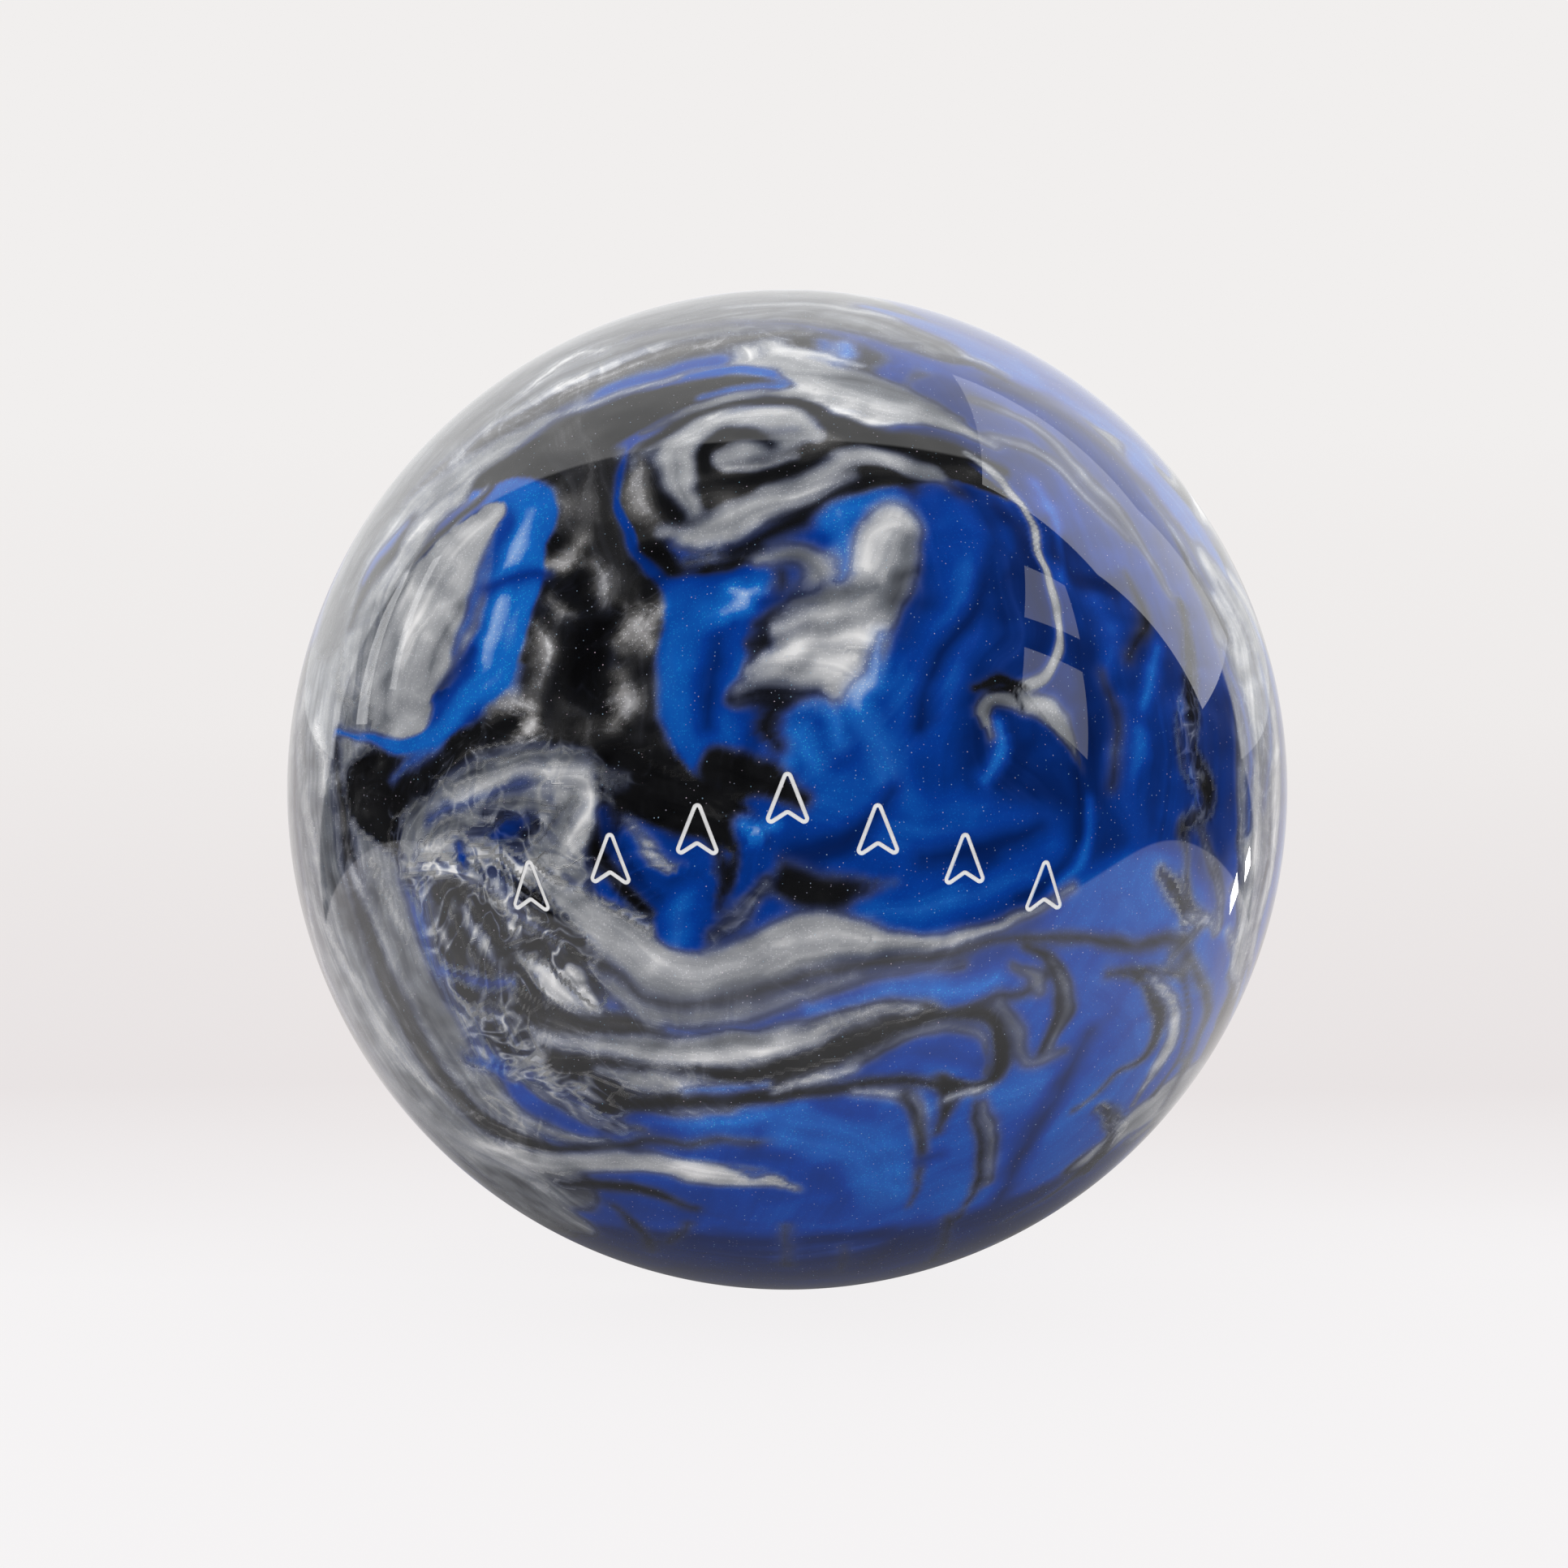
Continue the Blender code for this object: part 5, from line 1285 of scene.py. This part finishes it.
def make_stage(name, mesh_points, faces, material):
    mesh = bpy.data.meshes.new(name)
    mesh.from_pydata([tuple(point) for point in mesh_points], [], faces)
    obj = bpy.data.objects.new(name, mesh)
    bpy.context.scene.collection.objects.link(obj)
    mesh.materials.append(material)
    return obj


def glow_material(name, strength):
    """White light with no surface."""
    material = bpy.data.materials.new(name)
    material.use_nodes = True
    graph = Graph(material.node_tree)
    material.node_tree.nodes.remove(material.node_tree.nodes["Principled BSDF"])
    glow = graph.add("ShaderNodeEmission", {"Color": (1.0, 1.0, 1.0, 1.0), "Strength": strength})
    output = material.node_tree.nodes["Material Output"]
    graph.tree.links.new(glow.outputs[0], output.inputs["Surface"])
    return material


def reflection_card(name, corners, distance, strength):
    """A lit panel seen only in the ball's gloss, given by where its corners show on the front disc."""
    points = [mirrored_point(x, y, distance) for x, y in corners]
    card = make_stage(name, points, [tuple(range(len(points)))], glow_material(name, strength))
    card.visible_camera = False
    card.visible_diffuse = False
    card.visible_shadow = False
    card.visible_transmission = False
    card.visible_volume_scatter = False


def build_floor():
    """Flat paper that fades into the backdrop. It mostly glows, and its light is painted: its front is a
    little paler than its back.
    """
    material = bpy.data.materials.new("floor_paper")
    material.use_nodes = True
    graph = Graph(material.node_tree)
    shader = material.node_tree.nodes["Principled BSDF"]
    place = graph.add("ShaderNodeTexCoord").outputs["Object"]
    backwards = graph.vector("DOT_PRODUCT", place, (0.0, 1.0, 0.0))
    jitter = graph.noise(place, 3.0, 2.0, 0.5)
    edge = graph.plus(backwards, graph.times(jitter, 0.12))
    colour = graph.ramp(graph.times(edge, 1.0 / PAPER_LENGTH), PAPER_SWEEP)
    glow = graph.add("ShaderNodeEmission", {"Color": colour, "Strength": 1.0})
    connect(graph, shader, Base_Color=colour, Roughness=0.9)
    shader.inputs["Specular IOR Level"].default_value = 0.0
    distance = graph.vector("LENGTH", place)
    glow_share = graph.blend(graph.range(distance, 0.1, 0.9), PAPER_GLOW, 1.0)
    paper = graph.add("ShaderNodeMixShader", {0: glow_share, 1: shader.outputs[0], 2: glow.outputs[0]})
    path = graph.add("ShaderNodeLightPath").outputs["Is Glossy Ray"]
    # Painted shade: where the gloss sees the floor close to the ball it is darkened, standing in for the
    # ball's contact shadow.
    painted_contact_shade = graph.blend(graph.range(distance, 0.05, 0.22), 0.85, 0.10)
    forward = graph.vector("DOT_PRODUCT", graph.vector("NORMALIZE", place), tuple(TOWARDS))
    reach = graph.vector("LENGTH", graph.vector("DIVIDE", place, LIT_FLOOR))
    beyond = graph.range(reach, 0.97, 1.03)
    dark = graph.times(beyond, graph.range(forward, ROOM_LOW - 0.01, ROOM_LOW + 0.01))
    dark = graph.math("MAXIMUM", dark, painted_contact_shade)
    night = graph.add("ShaderNodeEmission", {"Color": ROOM_DARK, "Strength": 1.0})
    seen = graph.add(
        "ShaderNodeMixShader",
        {0: graph.times(path, dark), 1: paper.outputs[0], 2: night.outputs[0]},
    )
    output = material.node_tree.nodes["Material Output"]
    graph.tree.links.new(seen.outputs[0], output.inputs["Surface"])
    turns = [math.tau * index / FLOOR_SIDES for index in range(FLOOR_SIDES)]
    points = [(FLOOR_RADIUS * math.cos(turn), FLOOR_RADIUS * math.sin(turn), 0.0) for turn in turns]
    make_stage("floor_paper", points, [tuple(range(FLOOR_SIDES))], material)


def build_world():
    """Pale all round, except that the gloss sees a dark room in front of the ball."""
    world = bpy.data.worlds.new("studio")
    world.use_nodes = True
    bpy.context.scene.world = world
    graph = Graph(world.node_tree)
    direction = graph.add("ShaderNodeTexCoord").outputs["Generated"]
    upward = graph.vector("DOT_PRODUCT", direction, tuple(UPWARDS))
    forward = graph.vector("DOT_PRODUCT", direction, tuple(TOWARDS))
    edge = graph.plus(graph.times(graph.times(upward, upward), ROOM_RISE), ROOM_LOW)
    in_room = graph.range(graph.minus(forward, edge), -0.01, 0.01)
    path = graph.add("ShaderNodeLightPath")
    light = graph.mix(path.outputs["Is Camera Ray"], WORLD_LIGHT, PAPER_FAR)
    backwards = graph.times(forward, -1.0)
    glossy = graph.mix(in_room, graph.ramp(backwards, GLOSS_SURROUND), ROOM_DARK)
    colour = graph.mix(path.outputs["Is Glossy Ray"], light, glossy)
    background = world.node_tree.nodes["Background"]
    graph.tree.links.new(colour, background.inputs["Color"])


def build_camera():
    """The camera in front of the ball, a little above its middle."""
    data = bpy.data.cameras.new("camera")
    data.lens = CAMERA_LENS
    data.sensor_width = CAMERA_SENSOR
    data.clip_end = CAMERA_REACH
    camera = bpy.data.objects.new("camera", data)
    camera.location = CENTRE + CAMERA_AIM + TOWARDS * CAMERA_DISTANCE
    camera.rotation_euler = TOWARDS.to_track_quat("Z", "Y").to_euler()
    bpy.context.scene.collection.objects.link(camera)
    bpy.context.scene.camera = camera


def main():
    noise.seed_set(NOISE_SEED)
    bpy.context.scene.view_settings.view_transform = "Standard"
    build_cover(cover_material())
    paint = cast_material("mark_white_paint", *WHITE_PAINT, 40.0, 0.35)
    pin_resin = cast_material("pin_slate_resin", *SLATE_RESIN, 40.0, 0.15, coat=1.0)
    build_marks(paint, pin_resin)
    build_inside()
    build_floor()
    for name, distance, strength, corners in REFLECTIONS:
        reflection_card(name, corners, distance, strength)
    build_world()
    build_camera()


main()
